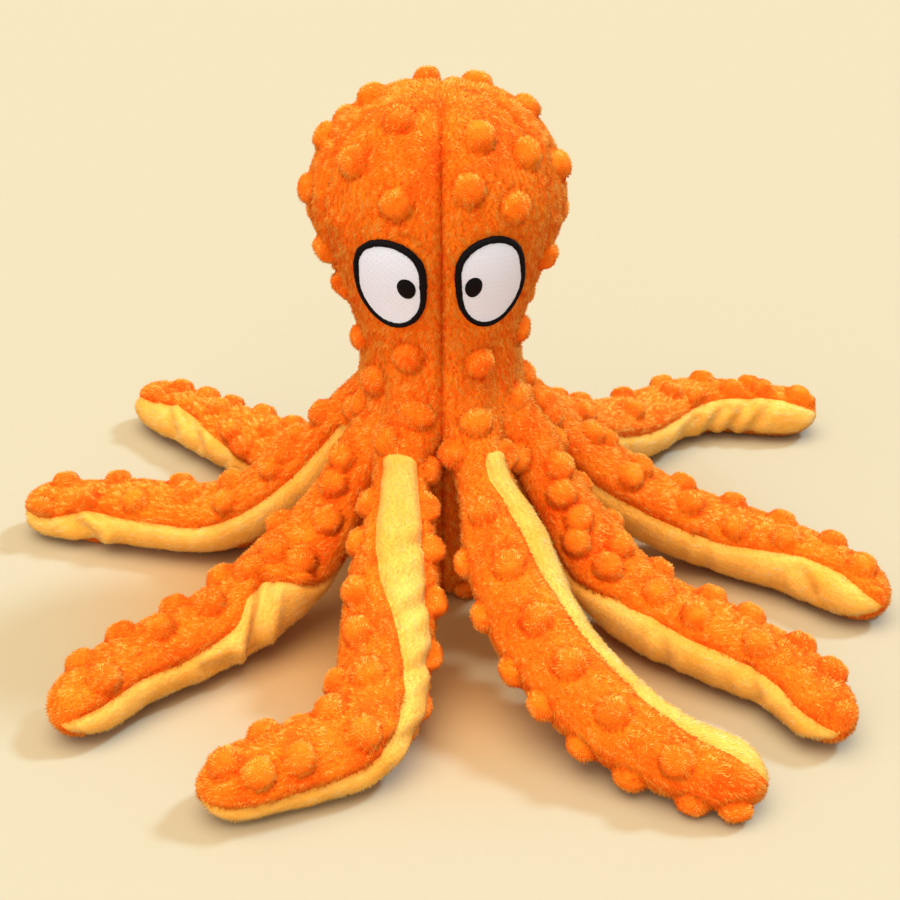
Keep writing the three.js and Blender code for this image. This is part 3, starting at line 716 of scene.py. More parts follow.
def eyeFrame(eye):
    # the eye's middle (angle, height), the fit of its edge and its pupil, both round that middle in mm
    angle, height = np.meshgrid(np.linspace(2, 62, 400) * eye["side"], np.linspace(115, 175, 400))
    points, _ = bagPoint(angle, stepAt(height), 1.2)
    seen = inPicture(points)
    pixels = [*eye["edge"], eye["pupil"]]
    nearest = [np.argmin(np.linalg.norm(seen - np.array(pixel), axis=-1)) for pixel in pixels]
    places = np.stack([angle.ravel()[nearest], height.ravel()[nearest]], -1)
    middle = places[:-1].mean(0)
    radius = outline(stepAt(middle[1]))[0]
    flat = np.stack([np.radians(places[:, 0] - middle[0]) * radius, places[:, 1] - middle[1]], -1)
    turn = np.arctan2(flat[:-1, 1], flat[:-1, 0])
    fit = np.linalg.lstsq(turnWaves(turn), np.hypot(flat[:-1, 0], flat[:-1, 1]), rcond=None)[0]
    return {"middle": middle, "radius": radius, "fit": fit, "pupil": flat[-1]}


def onEye(shape, across, upward, offset):
    # the bag's point that far from the eye's middle in mm: angle = middle + across / radius
    angle = shape["middle"][0] + np.degrees(across / shape["radius"])
    return bagPoint(angle, stepAt(shape["middle"][1] + upward), offset)[0]


def insideEyes(points, shapes, share):
    # True where a point of the bag lies within that share of an eye's edge
    scale = leftScale(points[..., 0], points[..., 2])
    angle = np.degrees(np.arctan2(points[..., 0] / scale, -points[..., 1]))
    found = np.zeros(points.shape[:-1], bool)
    for shape in shapes:
        across = np.radians(angle - shape["middle"][0]) * shape["radius"]
        upward = points[..., 2] - shape["middle"][1]
        turn = np.arctan2(upward, across)
        near = np.hypot(across, upward) < share * eyeReach(shape, turn)
        found |= near & (points[..., 1] < 0)
    return found


def eyeFill(side, shape, thread):
    # white fill, a little crowned: rows of thread that lean by the slant, each a low ridge with a dip
    # where a stitch ends
    turn = np.linspace(0, 2 * math.pi, eyes["fillTurns"])
    share = np.linspace(0.004, 1, eyes["fillRings"])[:, None]
    inset = eyeReach(shape, turn) - eyes["rim"] * eyes["fillUnderRim"]
    across, upward = share * inset * np.cos(turn), share * inset * np.sin(turn)
    slant = eyes[side]["slant"]
    row = (upward * math.cos(slant) - across * math.sin(slant)) / eyes["rowPitch"]
    stagger = np.floor(row) % 3 / 3
    stitch = (across * math.cos(slant) + upward * math.sin(slant)) / eyes["stitchLong"] + stagger
    dip = eyes["dip"] * np.exp(-((stitch % 1 - 0.5) / eyes["dipWide"]) ** 2)
    ridge = np.abs(np.sin(math.pi * row)) ** eyes["rowPower"] - dip
    offset = eyes["lift"] + eyes["fillThickness"] + eyes["fillCrown"] * (1 - share ** 2)
    offset = offset + eyes["rowHeight"] * ridge
    top = onEye(shape, across, upward, offset)
    under = onEye(shape, across, upward, eyes["lift"] + 0 * offset)
    # the ridge also deepens the thread's colour between rows and at stitch ends, as painted shade
    fill = shell(side + "EyeFill", top, under, thread, {"threadRowPaintedShade": np.clip(ridge, 0, 1)})
    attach(fill, "body")
    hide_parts(side + "_eye_white")


def eyeOutline(side, shape, thread):
    # black outline: a satin cord round the edge, its stitches across it, uneven by a soft noise
    turn = np.linspace(0, 2 * math.pi, eyes["rimTurns"], endpoint=False)
    line = eyeReach(shape, turn)
    edge = np.stack([line * np.cos(turn), line * np.sin(turn), 0 * turn], -1)
    length = np.cumsum(np.linalg.norm(np.diff(edge, axis=0, append=edge[:1]), axis=-1))
    stitches = np.round(length[-1] / eyes["stitchPitch"])
    ridge = np.abs(np.sin(math.pi * stitches * length / length[-1]))
    section = np.linspace(0, 2 * math.pi, eyes["rimSides"], endpoint=False)
    uneven = eyes["rimUneven"] * softNoise(edge, eyes["unevenSize"], 90)
    uneven = 1 + eyes["rimStitch"] * (ridge - 0.5) + uneven
    wide = eyes["rim"] / 2 * np.cos(section) * uneven[:, None]
    high = np.where(np.sin(section) > 0, eyes["rimHeight"], eyes["rimDepth"]) * np.sin(section)
    high = high + eyes["stitchHeight"] * ridge[:, None] * (np.sin(section) > 0)
    reach = line[:, None] - eyes["rim"] / 2 + wide
    cord = onEye(shape, reach * np.cos(turn)[:, None], reach * np.sin(turn)[:, None], eyes["lift"] + high)
    cordFaces = cornerNumbers(gridCorners(*cord.shape[:2]), *cord.shape[:2])
    # pupil: a satin disc over the white, stitched side to side, closed by a fan above and one below
    share = np.linspace(0.02, 1, eyes["pupilRings"])[:, None]
    turn = np.linspace(0, 2 * math.pi, eyes["pupilTurns"], endpoint=False)
    across = share * eyes["pupilRadius"] * np.cos(turn)
    upward = share * eyes["pupilRadius"] * eyes["pupilTall"] * np.sin(turn)
    stripe = np.abs(np.sin(math.pi * across / eyes["stitchPitch"]))
    white = eyes["lift"] + eyes["fillThickness"] + eyes["pupilLift"]
    offset = white + eyes["pupilCrown"] * (1 - share ** 4) + eyes["pupilStitch"] * stripe
    offset[-1] = white - eyes["pupilSunk"]
    disc = onEye(shape, across + shape["pupil"][0], upward + shape["pupil"][1], offset)
    low, peak = (onEye(shape, *shape["pupil"], white + rise).reshape(1, 3)
                 for rise in (-eyes["pupilSunk"], eyes["pupilPeak"]))
    rings, around = disc.shape[:2]
    first = len(cord.reshape(-1, 3))
    discFaces = cornerNumbers(gridCorners(rings - 1, around), rings, around, first)
    here = np.arange(around)
    after = (here + 1) % around
    last = first + (rings - 1) * around
    lowAt, peakAt = last + around, last + around + 1
    peakFan = np.stack([0 * here + peakAt, first + here, first + after], -1)
    lowFan = np.stack([0 * here + lowAt, last + after, last + here], -1)
    quads = np.concatenate([cordFaces, discFaces])[:, [0, 3, 2, 1]]
    fans = np.concatenate([peakFan, lowFan])
    vertices = np.concatenate([cord.reshape(-1, 3), disc.reshape(-1, 3), low, peak])
    loops = np.concatenate([quads.ravel(), fans.ravel()])
    sizes = np.repeat([4, 3], [len(quads), len(fans)])
    # the stitches' ridges and the pupil's stripes deepen the thread's colour between them, as painted shade
    values = {"threadRowPaintedShade": np.concatenate([np.repeat(ridge, len(section)), stripe.ravel(), [0, 1]])}
    stitched = makeMesh(side + "EyeOutline", vertices, loops, sizes, values=values, material=thread)
    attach(stitched, "body")
    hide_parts(side + "_eye_black")


def makeEyes(shapes):
    white = embroidery("whiteFillStitch", ("#BECBF0", "#D6E2FF"), 0.6, 0.2)
    black = embroidery("blackSatinStitch", ("#030304", "#0B0A10"), 0.7, 0.0)
    for side, shape in shapes.items():
        eyeFill(side, shape, white)
        eyeOutline(side, shape, black)
    print("eyes", *shapes)


def bagGores(steps):
    # one grid of points and normals a gore, from the middle of the face or of the back to the side seam
    seam = sideSeam(outline(steps)[1])
    gores = {}
    for name, (side, front, _) in gorePieces.items():
        start, end = (0 * seam, seam) if front else (seam, 0 * seam + 180)
        columns = bag["frontColumns"] if front else bag["backColumns"]
        share = np.linspace(0, 1, columns)
        angle = side * (start[:, None] + (end - start)[:, None] * share)
        point, normal = bagPoint(angle, np.repeat(steps[:, None], columns, 1))
        gores[name] = {"point": point, "normal": normal, "share": share}
    return gores


def bagBumps(gores, steps, shapes):
    # those of the picture first, then staggered rows over the rest, clear of the seams, the eyes and the face
    points, normals = (np.concatenate([gore[key].reshape(-1, 3) for gore in gores.values()])
                       for key in ("point", "normal"))
    centres = pickedInPicture(faceBumps, points, normals)
    length = outlineRun(steps)
    candidates = []
    first, last = length[-1] - bumps["belowCrown"], bumps["aboveFloor"]
    for i, at in enumerate(np.arange(first, last, -bumps["across"])):
        step = np.interp(at, length, steps)
        r = float(outline(step)[0])
        count = max(3, int(round(2 * math.pi * r / bumps["along"])))
        for k in range(count):
            turn = (k + 0.5 * (i % 2)) * 360 / count - 180
            p, _ = bagPoint(np.array(turn), np.array(step))
            seam = float(sideSeam(p[2]))
            toSeam = min(abs(turn), abs(abs(turn) - seam), 180 - abs(turn)) * math.pi / 180 * r
            onFace = p[1] < bag["faceFront"] and p[2] > bag["faceFrom"]
            nearEye = insideEyes(p[None], shapes.values(), eyes["clear"])[0]
            if toSeam > bag["bumpToSeam"] and not onFace and not nearEye:
                candidates.append(p)
    centres = apart(list(centres), candidates, bumps["gap"])
    return [c for c in centres if not insideEyes(c[None], shapes.values(), eyes["clearOfShown"])[0]]


def makeGores(shapes, paths, materials):
    steps = outlineRows(bag["cell"], bag["last"])
    gores = bagGores(steps)
    centres = bagBumps(gores, steps, shapes)
    for name, gore in gores.items():
        # uneven filling and bumps fade out at the seams; folds; cloth bridges the corners to the arms
        point, normal = gore["point"], gore["normal"]
        lump = bag["lump"] * softNoise(point, bag["lumpSize"], 3)
        lump = lump + bag["ripple"] * softNoise(point, bag["rippleSize"], 5)
        edge = np.minimum(gore["share"], 1 - gore["share"])[None] * (outlineRun(steps)[-1] / 3)
        lift = lump * smooth(edge / bag["lumpFade"])
        lift = lift + bumpLift(point, centres) * smooth(edge / bag["bumpFade"])
        lift = lift + foldLift(point, normal, faceFolds)
        tubes = [toTube(point, path) for path in paths]
        lift = lift + np.clip(sum(filletLift(d) for d in tubes), 0, bag["bridgeMost"])
        lift = np.where(insideEyes(point, shapes.values(), eyes["bed"]), 0, lift)
        outer = point + normal * lift[..., None]
        outer[..., 2] = np.maximum(outer[..., 2], 0.1)
        inner = point - normal * bag["cloth"]
        inner[..., 2] = np.maximum(inner[..., 2], 0.5)
        cloth = shell(name + "Gore", outer, inner, materials["topBacking"])
        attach(cloth, "body")
        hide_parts(gorePieces[name][2])
        # the pile is stroked down and away from the seams, with painted shade in their grooves
        inward = np.where(gore["share"] < 0.5, bag["brushed"], -bag["brushed"])[None, :, None]
        aside = unit(np.gradient(outer, axis=1)) * inward
        lay = unit(aside - unit(np.gradient(outer, axis=0)))
        lay, paintedShading, cut = bumpPile(point, normal, centres, lay)
        paintedShading = paintedShading - bag["seamPaintedShade"] * (1 - smooth(edge / bag["seamShade"]))
        allowed = ~insideEyes(point, shapes.values(), eyes["bare"]) & (point[..., 2] > 2)
        allowed &= np.min(tubes, axis=0) > -3
        tufts = pile(name + "Pile", outer, gridNormals(outer, normal), lay, paintedShading, cut, allowed, orangeTuft,
                     materials["topPile"])
        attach(tufts, "body")
        print("gore", name, len(cloth.data.polygons), "cloth faces,", len(tufts.data.polygons), "pile faces")


# the bag's wadding: how deep it lies under the cloth, unevenly; its hollow middle, closed towards the crown,
# and wider up to pocketTop for the squeaker
wadding = {"cell": 4.0, "last": 2.9, "turns": 65, "depth": 4.5, "uneven": 0.8, "unevenSize": 12,
           "hollow": 3.0, "pocket": 15.5, "pocketTop": 34, "closedAt": 196, "closedOver": 30}


def makeWadding(materials):
    # a thick sheet from its depth under the cloth to the hollow, its last column closed on its first
    rows = outlineRows(wadding["cell"], wadding["last"])
    angle, step = np.meshgrid(np.linspace(-180, 180, wadding["turns"]), rows)
    noise = softNoise(bagPoint(angle, step)[0], wadding["unevenSize"], 7)
    outer, _ = bagPoint(angle, step, -(wadding["depth"] + wadding["uneven"] * noise))
    outer[:, -1] = outer[:, 0]
    reach = np.linalg.norm(outer[..., :2], axis=-1, keepdims=True)
    height = outer[..., 2:]
    hollow = np.where(height < wadding["pocketTop"], wadding["pocket"], wadding["hollow"])
    hollow = hollow * smooth((wadding["closedAt"] - height) / wadding["closedOver"])
    inner = np.concatenate([unit(outer[..., :2]) * np.minimum(hollow, reach - 1), height], -1)
    stuffing = shell("bodyWadding", outer, inner, materials["wadding"])
    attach(stuffing, "body")
    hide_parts("body_filling")


underside = {"rings": 16, "turns": 65, "clearance": 0.3, "height": 0.15, "dome": 0.5, "thickness": 2.0}


def makePanel(materials):
    # a disc that closes the bag, its middle domed off the floor: height + dome * (1 - share^2)
    share = np.linspace(0.01, 1, underside["rings"])[:, None]
    turn = np.linspace(0, 2 * math.pi, underside["turns"])
    reach = share * (bag["baseRadius"] - underside["clearance"])
    height = underside["height"] + underside["dome"] * (1 - share ** 2) + 0 * turn
    under = np.stack([reach * np.cos(turn), reach * np.sin(turn), height], -1)
    over = under + np.array([0, 0, underside["thickness"]])
    panel = shell("undersidePanel", under, over, materials["stripBacking"])
    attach(panel, "body")
    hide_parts("underside_panel")


# Arms

# lengths in mm along the arm or across it; shares are of its run, its tip or its section
limb = {"rootRadius": 40, "rootHeight": 70, "rootHalf": 11.5, "width": 35, "thickness": 30, "run": 158,
        "landing": 100, "swell": 34, "tip": 17, "taper": 0.2, "knee": 0.5, "flat": 0.5, "tuck": 0.6,
        "collarRadius": 20, "collarHeight": 101, "collarHalf": 6.5, "collarLean": 0.1, "handle": 12,
        "cell": 1.45, "tipRows": 18, "topColumns": 56, "stripColumns": 28, "cloth": 1.8, "crushed": 0.5,
        "pressed": 0.6, "seamGroove": 1.5, "seamWidth": 2.2, "lump": 0.9, "lumpSize": 22, "ripple": 0.3,
        "rippleSize": 8, "scallop": 0.3, "scallopPitch": 19, "scallopSize": 26, "bumpToEdge": 6.5,
        "stripStart": -3, "stripRound": 7, "stripPuff": 0.8, "stripSunk": 1.5,
        "endRows": (0, 0.05, 0.2, 0.45, 0.8), "bridgeTop": 130, "bridgeEnd": 70, "bridgeFade": 20,
        "shiftRun": 60, "rootBend": (-16, 24), "bendHalf": 20, "fillEnd": 0.7, "fillOuter": 0.74,
        "fillInner": 0.12, "fillTurns": 25, "fillEvery": 4, "tubeEnd": 75, "tubeStep": 3.0,
        "sewnRun": 6, "puckered": 0.3, "bumpFade": 5, "puffFade": 8, "scallopFade": 6, "tipFade": 6,
        # the pile by the strip's seam is darkened as painted shade in its groove, fading over seamShade
        "seamPaintedShade": 0.3, "seamShade": 2.5, "shadeRun": 3, "clothShare": 0.5, "clothLift": 0.25}

# heading, bend and run shares as the arms lie; strip rows give share of length, middle angle, half angle;
# bumps and folds are pixels of the picture, a fold's two ends followed by its depth and width
arms = [
    {"root": -150, "heading": -130, "bend": -4, "bendShare": 0.5, "spreadShare": 0.5, "runShare": 1.12,
     "landingShare": 0.8,
     "strip": [(0, -40, 36), (0.5, -44, 40), (0.6, -30, 44), (0.7, -8, 48), (0.8, 4, 50), (0.9, -8, 48),
               (1, -10, 46)],
     "bumps": [(183, 388), (211, 389), (220, 406), (236, 396), (229, 430), (266, 411), (241, 447),
               (154, 397), (293, 425), (273, 429), (320, 412), (346, 389)],
     "folds": [(185, 412, 200, 445, 1.6, 5), (215, 428, 228, 460, 1.4, 5), (168, 408, 176, 432, 1.0, 5)]},
    {"root": -104, "heading": -100, "bend": -4, "bendShare": 0.5, "spreadShare": 0.5, "runShare": 0.94,
     "landingShare": 0.75,
     "strip": [(0, -20, 28), (0.1, -22, 36), (0.5, -22, 36), (0.7, -16, 38), (0.8, -8, 42),
               (0.9, -28, 38), (1, -30, 38)],
     "bumps": [(120, 467), (67, 480), (85, 501), (134, 499), (183, 480), (188, 491), (224, 501),
               (230, 481), (271, 466), (42, 512), (290, 428), (284, 452), (320, 412), (357, 410)],
     "folds": [(70, 520, 96, 538, 1.8, 6), (96, 512, 106, 528, 1.0, 5)]},
    {"root": -62, "heading": -49, "bend": 20, "bendShare": 0.78, "spreadShare": 0.13, "runShare": 0.91,
     "landingShare": 0.75, "shift": (3.5, 0, -4.5),
     "strip": [(0, -96, 34), (0.2, -86, 36), (0.26, -74, 40), (0.31, -56, 48), (0.35, -30, 60),
               (0.4, -10, 70), (0.47, -10, 64), (0.53, -16, 48), (0.6, -18, 40), (0.7, -24, 38),
               (0.8, -16, 38), (1, -12, 38)],
     "bumps": [(302, 561), (274, 549), (216, 572), (249, 568), (212, 603), (171, 603), (159, 627),
               (113, 622), (74, 655), (107, 679), (333, 484), (326, 519), (342, 455), (303, 590)],
     "folds": [(266, 582, 252, 652, 3.2, 7), (232, 660, 205, 668, 1.2, 6)]},
    {"root": -22.5, "heading": -5, "bend": -59, "bendShare": 0.6, "spreadShare": 0.13, "runShare": 0.98,
     "landingShare": 1.05,
     "strip": [(0, 92, 46), (0.12, 84, 42), (0.2, 80, 36), (0.3, 68, 32), (0.4, 44, 32), (0.5, 32, 28),
               (0.6, 14, 30), (0.7, -34, 34), (0.8, -42, 34), (0.9, -50, 34), (1, -54, 36)],
     "bumps": [(355, 499), (347, 540), (354, 592), (358, 631), (369, 672), (323, 681), (366, 734),
               (299, 760), (260, 772), (263, 729), (223, 762), (427, 507), (431, 548), (435, 601),
               (441, 655), (434, 713), (417, 416), (386, 440), (432, 470)],
     "folds": [(385, 560, 425, 540, 1.0, 7), (395, 620, 432, 596, 1.2, 7), (398, 680, 436, 655, 1.4, 7),
               (390, 745, 430, 725, 1.2, 7)]},
    {"root": 22.5, "heading": 17, "bend": 55, "bendShare": 0.6, "spreadShare": 0.5, "runShare": 1,
     "landingShare": 1.4,
     "strip": [(0, 64, 32), (0.05, 61, 36), (0.1, 46, 36), (0.2, 42, 34), (0.3, 40, 32), (0.4, 30, 32),
               (0.5, 30, 32), (0.7, 38, 34), (0.8, 50, 34), (0.9, 62, 34), (1, 72, 36)],
     "bumps": [(481, 509), (508, 565), (537, 617), (568, 665), (615, 713), (677, 760), (738, 812),
               (461, 566), (480, 618), (512, 673), (540, 707), (580, 751), (629, 783), (691, 813),
               (477, 422), (455, 455)],
     "folds": [(640, 690, 665, 705, 1.0, 6)]},
    {"root": 62, "heading": 52, "bend": -34, "bendShare": 0.78, "spreadShare": 0.13, "runShare": 0.97,
     "landingShare": 0.7,
     "strip": [(0, -118, 34), (0.3, -132, 40), (0.4, -164, 46), (0.5, -176, 44), (0.6, -168, 42),
               (0.8, -166, 42), (1, -162, 40)],
     "bumps": [(580, 518), (576, 542), (609, 566), (620, 543), (665, 566), (695, 616), (714, 591),
               (751, 615), (759, 641), (809, 634), (835, 669), (845, 716), (517, 457), (559, 467),
               (562, 492)],
     "folds": [(745, 668, 757, 700, 1.2, 6), (660, 632, 668, 668, 1.0, 6)]},
    {"root": 104, "heading": 94, "bend": -63, "bendShare": 0.6, "spreadShare": 0.5, "runShare": 0.99,
     "landingShare": 0.95,
     "strip": [(0, -132, 34), (0.2, -138, 38), (0.3, -146, 40), (0.5, -156, 42), (0.6, -160, 42),
               (0.7, -168, 46), (0.8, -176, 54), (0.9, -183, 55), (1, -180, 48)],
     "bumps": [(633, 476), (642, 466), (684, 482), (690, 503), (736, 498), (737, 527), (786, 511),
               (838, 535), (786, 538), (862, 565), (873, 601), (592, 433), (607, 437), (541, 398),
               (549, 417)],
     "folds": [(800, 570, 812, 592, 1.2, 6), (700, 540, 706, 566, 1.0, 6)]},
    {"root": 150, "heading": 137, "bend": -55, "bendShare": 0.7, "spreadShare": 0.13, "runShare": 1.32,
     "landingShare": 1.25,
     "strip": [(0, -150, 36), (0.5, -150, 42), (0.6, -156, 42), (0.7, -166, 44), (0.8, -176, 52),
               (0.9, -186, 54), (1, -180, 48)],
     "bumps": [(587, 413), (620, 391), (633, 409), (660, 375), (671, 391), (702, 376), (698, 398),
               (733, 389), (751, 378), (760, 388), (799, 395), (811, 407)],
     "folds": [(700, 440, 725, 408, 1.8, 5), (722, 436, 748, 404, 1.6, 5), (745, 434, 772, 404, 1.2, 5),
               (676, 446, 695, 420, 1.2, 5)]},
]


def armLine(arm):
    # plan: the root plus the heading's running sum; height: rest + (root - rest) (1 - run / landing)^2;
    # before the root a Bezier climbs inside the neck, so that the arm's cloth leaves it without a step
    whole = limb["run"] * arm["runShare"]
    run = np.linspace(0, whole, 600)
    share = run / whole
    bent = smooth((share - arm["bendShare"]) / (2 * arm["spreadShare"]) + 0.5)
    stride = level(arm["heading"] + arm["bend"] * bent) * run[1]
    outward = level(np.array(arm["root"]))
    plan = outward * limb["rootRadius"] + np.cumsum(stride, 0) - stride
    taper = 1 - limb["taper"] * smooth((share - limb["knee"]) / (1 - limb["knee"]))
    grown = smooth(run / limb["swell"])
    halfWidth = between(limb["rootHalf"], limb["width"] / 2 * taper, grown)
    halfThick = between(limb["rootHalf"], limb["thickness"] / 2 * taper, grown)
    rest = halfThick - limb["flat"]
    landing = limb["landing"] * arm["landingShare"]
    height = between(rest, limb["rootHeight"], np.clip(1 - run / landing, 0, 1) ** 2)
    upward = np.array([0, 0, 1.0])
    shift = np.array(arm.get("shift", (0, 0, 0)), float)
    centre = plan + upward * height[:, None] + shift * (1 - smooth(run / limb["shiftRun"]))[:, None]
    start = outward * limb["collarRadius"] + upward * limb["collarHeight"] + shift
    handleA = start + (outward * limb["collarLean"] - upward) * limb["handle"]
    handleB = centre[0] - unit(centre[1] - centre[0]) * limb["handle"]
    t = np.linspace(0, 1, 120)[:-1, None]
    collar = start * (1 - t) ** 3 + 3 * handleA * t * (1 - t) ** 2
    collar = collar + 3 * handleB * t * t * (1 - t) + centre[0] * t ** 3
    line = np.concatenate([collar, centre])
    length = np.concatenate([[0], np.cumsum(np.linalg.norm(np.diff(line, axis=0), axis=-1))])
    length -= length[len(collar)]
    swelled = between(limb["collarHalf"], limb["rootHalf"], smooth(t[:, 0]))
    halfWidth, halfThick = (np.concatenate([swelled, half]) - limb["tuck"] for half in (halfWidth, halfThick))
    kneeAt = np.interp(whole * limb["knee"], run, length[len(collar):])
    domeAt = np.interp(whole - limb["tip"], run, length[len(collar):])
    return {"line": line, "length": length, "halfWidth": halfWidth, "halfThick": halfThick,
            "knee": kneeAt, "dome": domeAt, "start": length[0], "end": domeAt + limb["tip"]}


def onLine(path, at):
    # points of the arm's middle line at distances along it
    return np.stack([np.interp(at, path["length"], path["line"][:, k]) for k in range(3)], -1)


def armFrame(path, at):
    # middle, forward, sideways and upward directions, and half sizes, which the tip's quarter circle shrinks
    along = unit(onLine(path, at + 1.5) - onLine(path, at - 1.5))
    across = unit(np.cross(np.array([0, 0, 1.0]), along))
    halfWidth = np.interp(at, path["length"], path["halfWidth"])
    halfThick = np.interp(at, path["length"], path["halfThick"])
    shrink = np.sqrt(np.clip(1 - (np.clip(at - path["dome"], 0, None) / limb["tip"]) ** 2, 0, 1))
    return onLine(path, at), along, across, np.cross(along, across), halfWidth * shrink, halfThick * shrink


def stripAt(arm, path, at):
    # the strip's middle angle and half angle; its end below the neck is rounded: half * (1 - (1 - s)^3)^(1/3)
    share = np.clip(at / path["end"], 0, 1)
    table = np.array(arm["strip"], float)
    middle = np.interp(share, table[:, 0], table[:, 1])
    half = np.interp(share, table[:, 0], table[:, 2])
    opening = np.clip((at - limb["stripStart"]) / limb["stripRound"], 0, 1)
    return middle, half * (1 - (1 - opening) ** 3) ** (1 / 3)


def settle(point):
    # the cloth flattens softly where it lies, on its own crushed pile: with z counted from the pile's
    # thickness, z becomes (z + sqrt(z^2 + pressed)) / 2
    z = point[..., 2] - limb["crushed"]
    point[..., 2] = limb["crushed"] + (z + np.sqrt(z * z + limb["pressed"])) / 2
    return point


def armSurface(path, at, turn):
    # middle + across * w cos(turn) + up * t sin(turn), and the ellipse's normal, leaning forward on the tip
    centre, along, across, up, w, t = (v[:, None] for v in armFrame(path, at))
    c, s = np.cos(np.radians(turn)), np.sin(np.radians(turn))
    point = centre + across * (w * c)[..., None] + up * (t * s)[..., None]
    lean = np.clip(at - path["dome"], 0, None)[:, None, None] / limb["tip"]
    around = unit(across * (c * t)[..., None] + up * (s * w)[..., None])
    return point, unit(around * np.sqrt(np.clip(1 - lean ** 2, 0.02, 1)) + along * lean)


def armSkins(arm, path):
    # the orange skin runs round from one edge of the strip to the other, the strip between its edges;
    # rows are closer where the strip's end rounds and on the tip
    opening = limb["stripStart"] + np.array(limb["endRows"])
    tube = np.sort(np.concatenate([np.arange(path["start"], path["dome"], limb["cell"]), opening]))
    dome = path["dome"] + limb["tip"] * np.sin(np.linspace(0, math.pi / 2 - 0.012, limb["tipRows"]))
    every = np.concatenate([tube, dome])
    onStrip = every[every > limb["stripStart"] - 2 * limb["cell"]]
    skins = {}
    for kind, rows, columns in (("top", every, limb["topColumns"]), ("strip", onStrip, limb["stripColumns"])):
        middle, half = stripAt(arm, path, rows)
        share = np.linspace(-1, 1, columns)
        if kind == "top":
            turn = (middle + 180)[:, None] + (180 - half)[:, None] * share
        else:
            turn = middle[:, None] + np.maximum(half, 0.8)[:, None] * share
        point, normal = armSurface(path, rows, turn)
        girth = np.linalg.norm(np.diff(point, axis=1), axis=-1).sum(1)
        skins[kind] = {"rows": rows, "share": share, "point": point, "normal": normal, "girth": girth,
                       "fromEdge": (1 - np.abs(share))[None] * girth[:, None] / 2}
    return skins


def armBumps(arm, path, top):
    # those of the picture, then staggered lanes over the rest of the orange skin, clear of its edges
    centres = pickedInPicture(arm["bumps"], top["point"], top["normal"])
    candidates = []
    first, last = path["dome"] + bumps["pastDome"], path["start"] + bumps["pastRoot"]
    for i, at in enumerate(np.arange(first, last, -bumps["along"] / 2)):
        row = int(np.argmin(np.abs(top["rows"] - at)))
        girth = top["girth"][row]
        for lane in ((-1.5, 0.5) if i % 2 else (-0.5, 1.5)):
            if abs(lane * bumps["across"]) < girth / 2 - limb["bumpToEdge"]:
                column = int(round((lane * bumps["across"] / girth + 0.5) * (len(top["share"]) - 1)))
                candidates.append(top["point"][row, column])
    return apart(list(centres), candidates, bumps["gap"])


def armLift(number, arm, kind, skin, centres, others):
    # uneven filling + drawn-in seams + bumps or the strip's puff and scallops + folds + cloth that bridges
    # the corners to the body and the next arms, all fading out at the tip
    point, normal, rows = skin["point"], skin["normal"], skin["rows"]
    lump = limb["lump"] * softNoise(point, limb["lumpSize"], 20 + number)
    lump = lump + limb["ripple"] * softNoise(point, limb["rippleSize"], 40 + number)
    sewn = smooth((rows - limb["stripStart"]) / limb["sewnRun"])[:, None]
    wave = np.cos(2 * math.pi * rows / limb["scallopPitch"] + number)
    pucker = wave[:, None] * softNoise(point, limb["scallopSize"], 60 + number)
    seam = limb["seamGroove"] * (1 + limb["puckered"] * pucker)
    seam = seam * np.exp(-(skin["fromEdge"] / limb["seamWidth"]) ** 2)
    lift = lump - sewn * seam
    if kind == "top":
        # bumps sink to nothing towards the strip's edge
        sewnRows = rows >= limb["stripStart"]
        edge = np.concatenate([point[sewnRows, 0], point[sewnRows, -1]])[::2]
        toEdge = np.stack([np.linalg.norm(row[:, None] - edge[None], axis=-1).min(1) for row in point])
        lift = lift + smooth(toEdge / limb["bumpFade"]) * bumpLift(point, centres)
    else:
        # the strip's first rows are sunk under the skin
        lift = lift + limb["stripPuff"] * smooth(skin["fromEdge"] / limb["puffFade"])
        lift = lift + limb["scallop"] * pucker * smooth(skin["fromEdge"] / limb["scallopFade"])
        lift = lift - limb["stripSunk"] * (rows < limb["stripStart"])[:, None]
    lift = lift + foldLift(point, normal, arm["folds"])
    toBody = np.hypot(point[..., 0], point[..., 1]) - bagRadius(point[..., 2])
    bridged = filletLift(toBody) * smooth((limb["bridgeTop"] - point[..., 2]) / limb["bridgeFade"])
    beside = smooth((limb["bridgeEnd"] - rows) / limb["bridgeFade"])[:, None]
    for other in others:
        bridged = bridged + filletLift(toTube(point, other)) * beside
    lift = lift + np.clip(bridged, 0, bag["bridgeMost"])
    return lift * smooth((rows[-1] + 1 - rows) / limb["tipFade"])[:, None]


def armCloth(number, arm, path, others, skins, centres):
    # each skin's outer and inner side and the outer side's normals; where the grid's own normals go astray
    # at a fold or the tip, the surface's are taken
    for kind, skin in skins.items():
        point, normal = skin["point"], skin["normal"]
        outer = settle(point + normal * armLift(number, arm, kind, skin, centres, others)[..., None])
        toMiddle = np.linalg.norm(point - point.mean(1, keepdims=True), axis=-1)
        depth = np.minimum(limb["cloth"], limb["clothShare"] * toMiddle)
        inner = settle(point - normal * depth[..., None]) + np.array([0, 0, limb["clothLift"]])
        facing = gridNormals(outer, normal)
        astray = np.einsum("ijk,ijk->ij", facing, normal) < 0.1
        facing[astray] = normal[astray]
        skin.update(outer=outer, inner=inner, facing=facing)


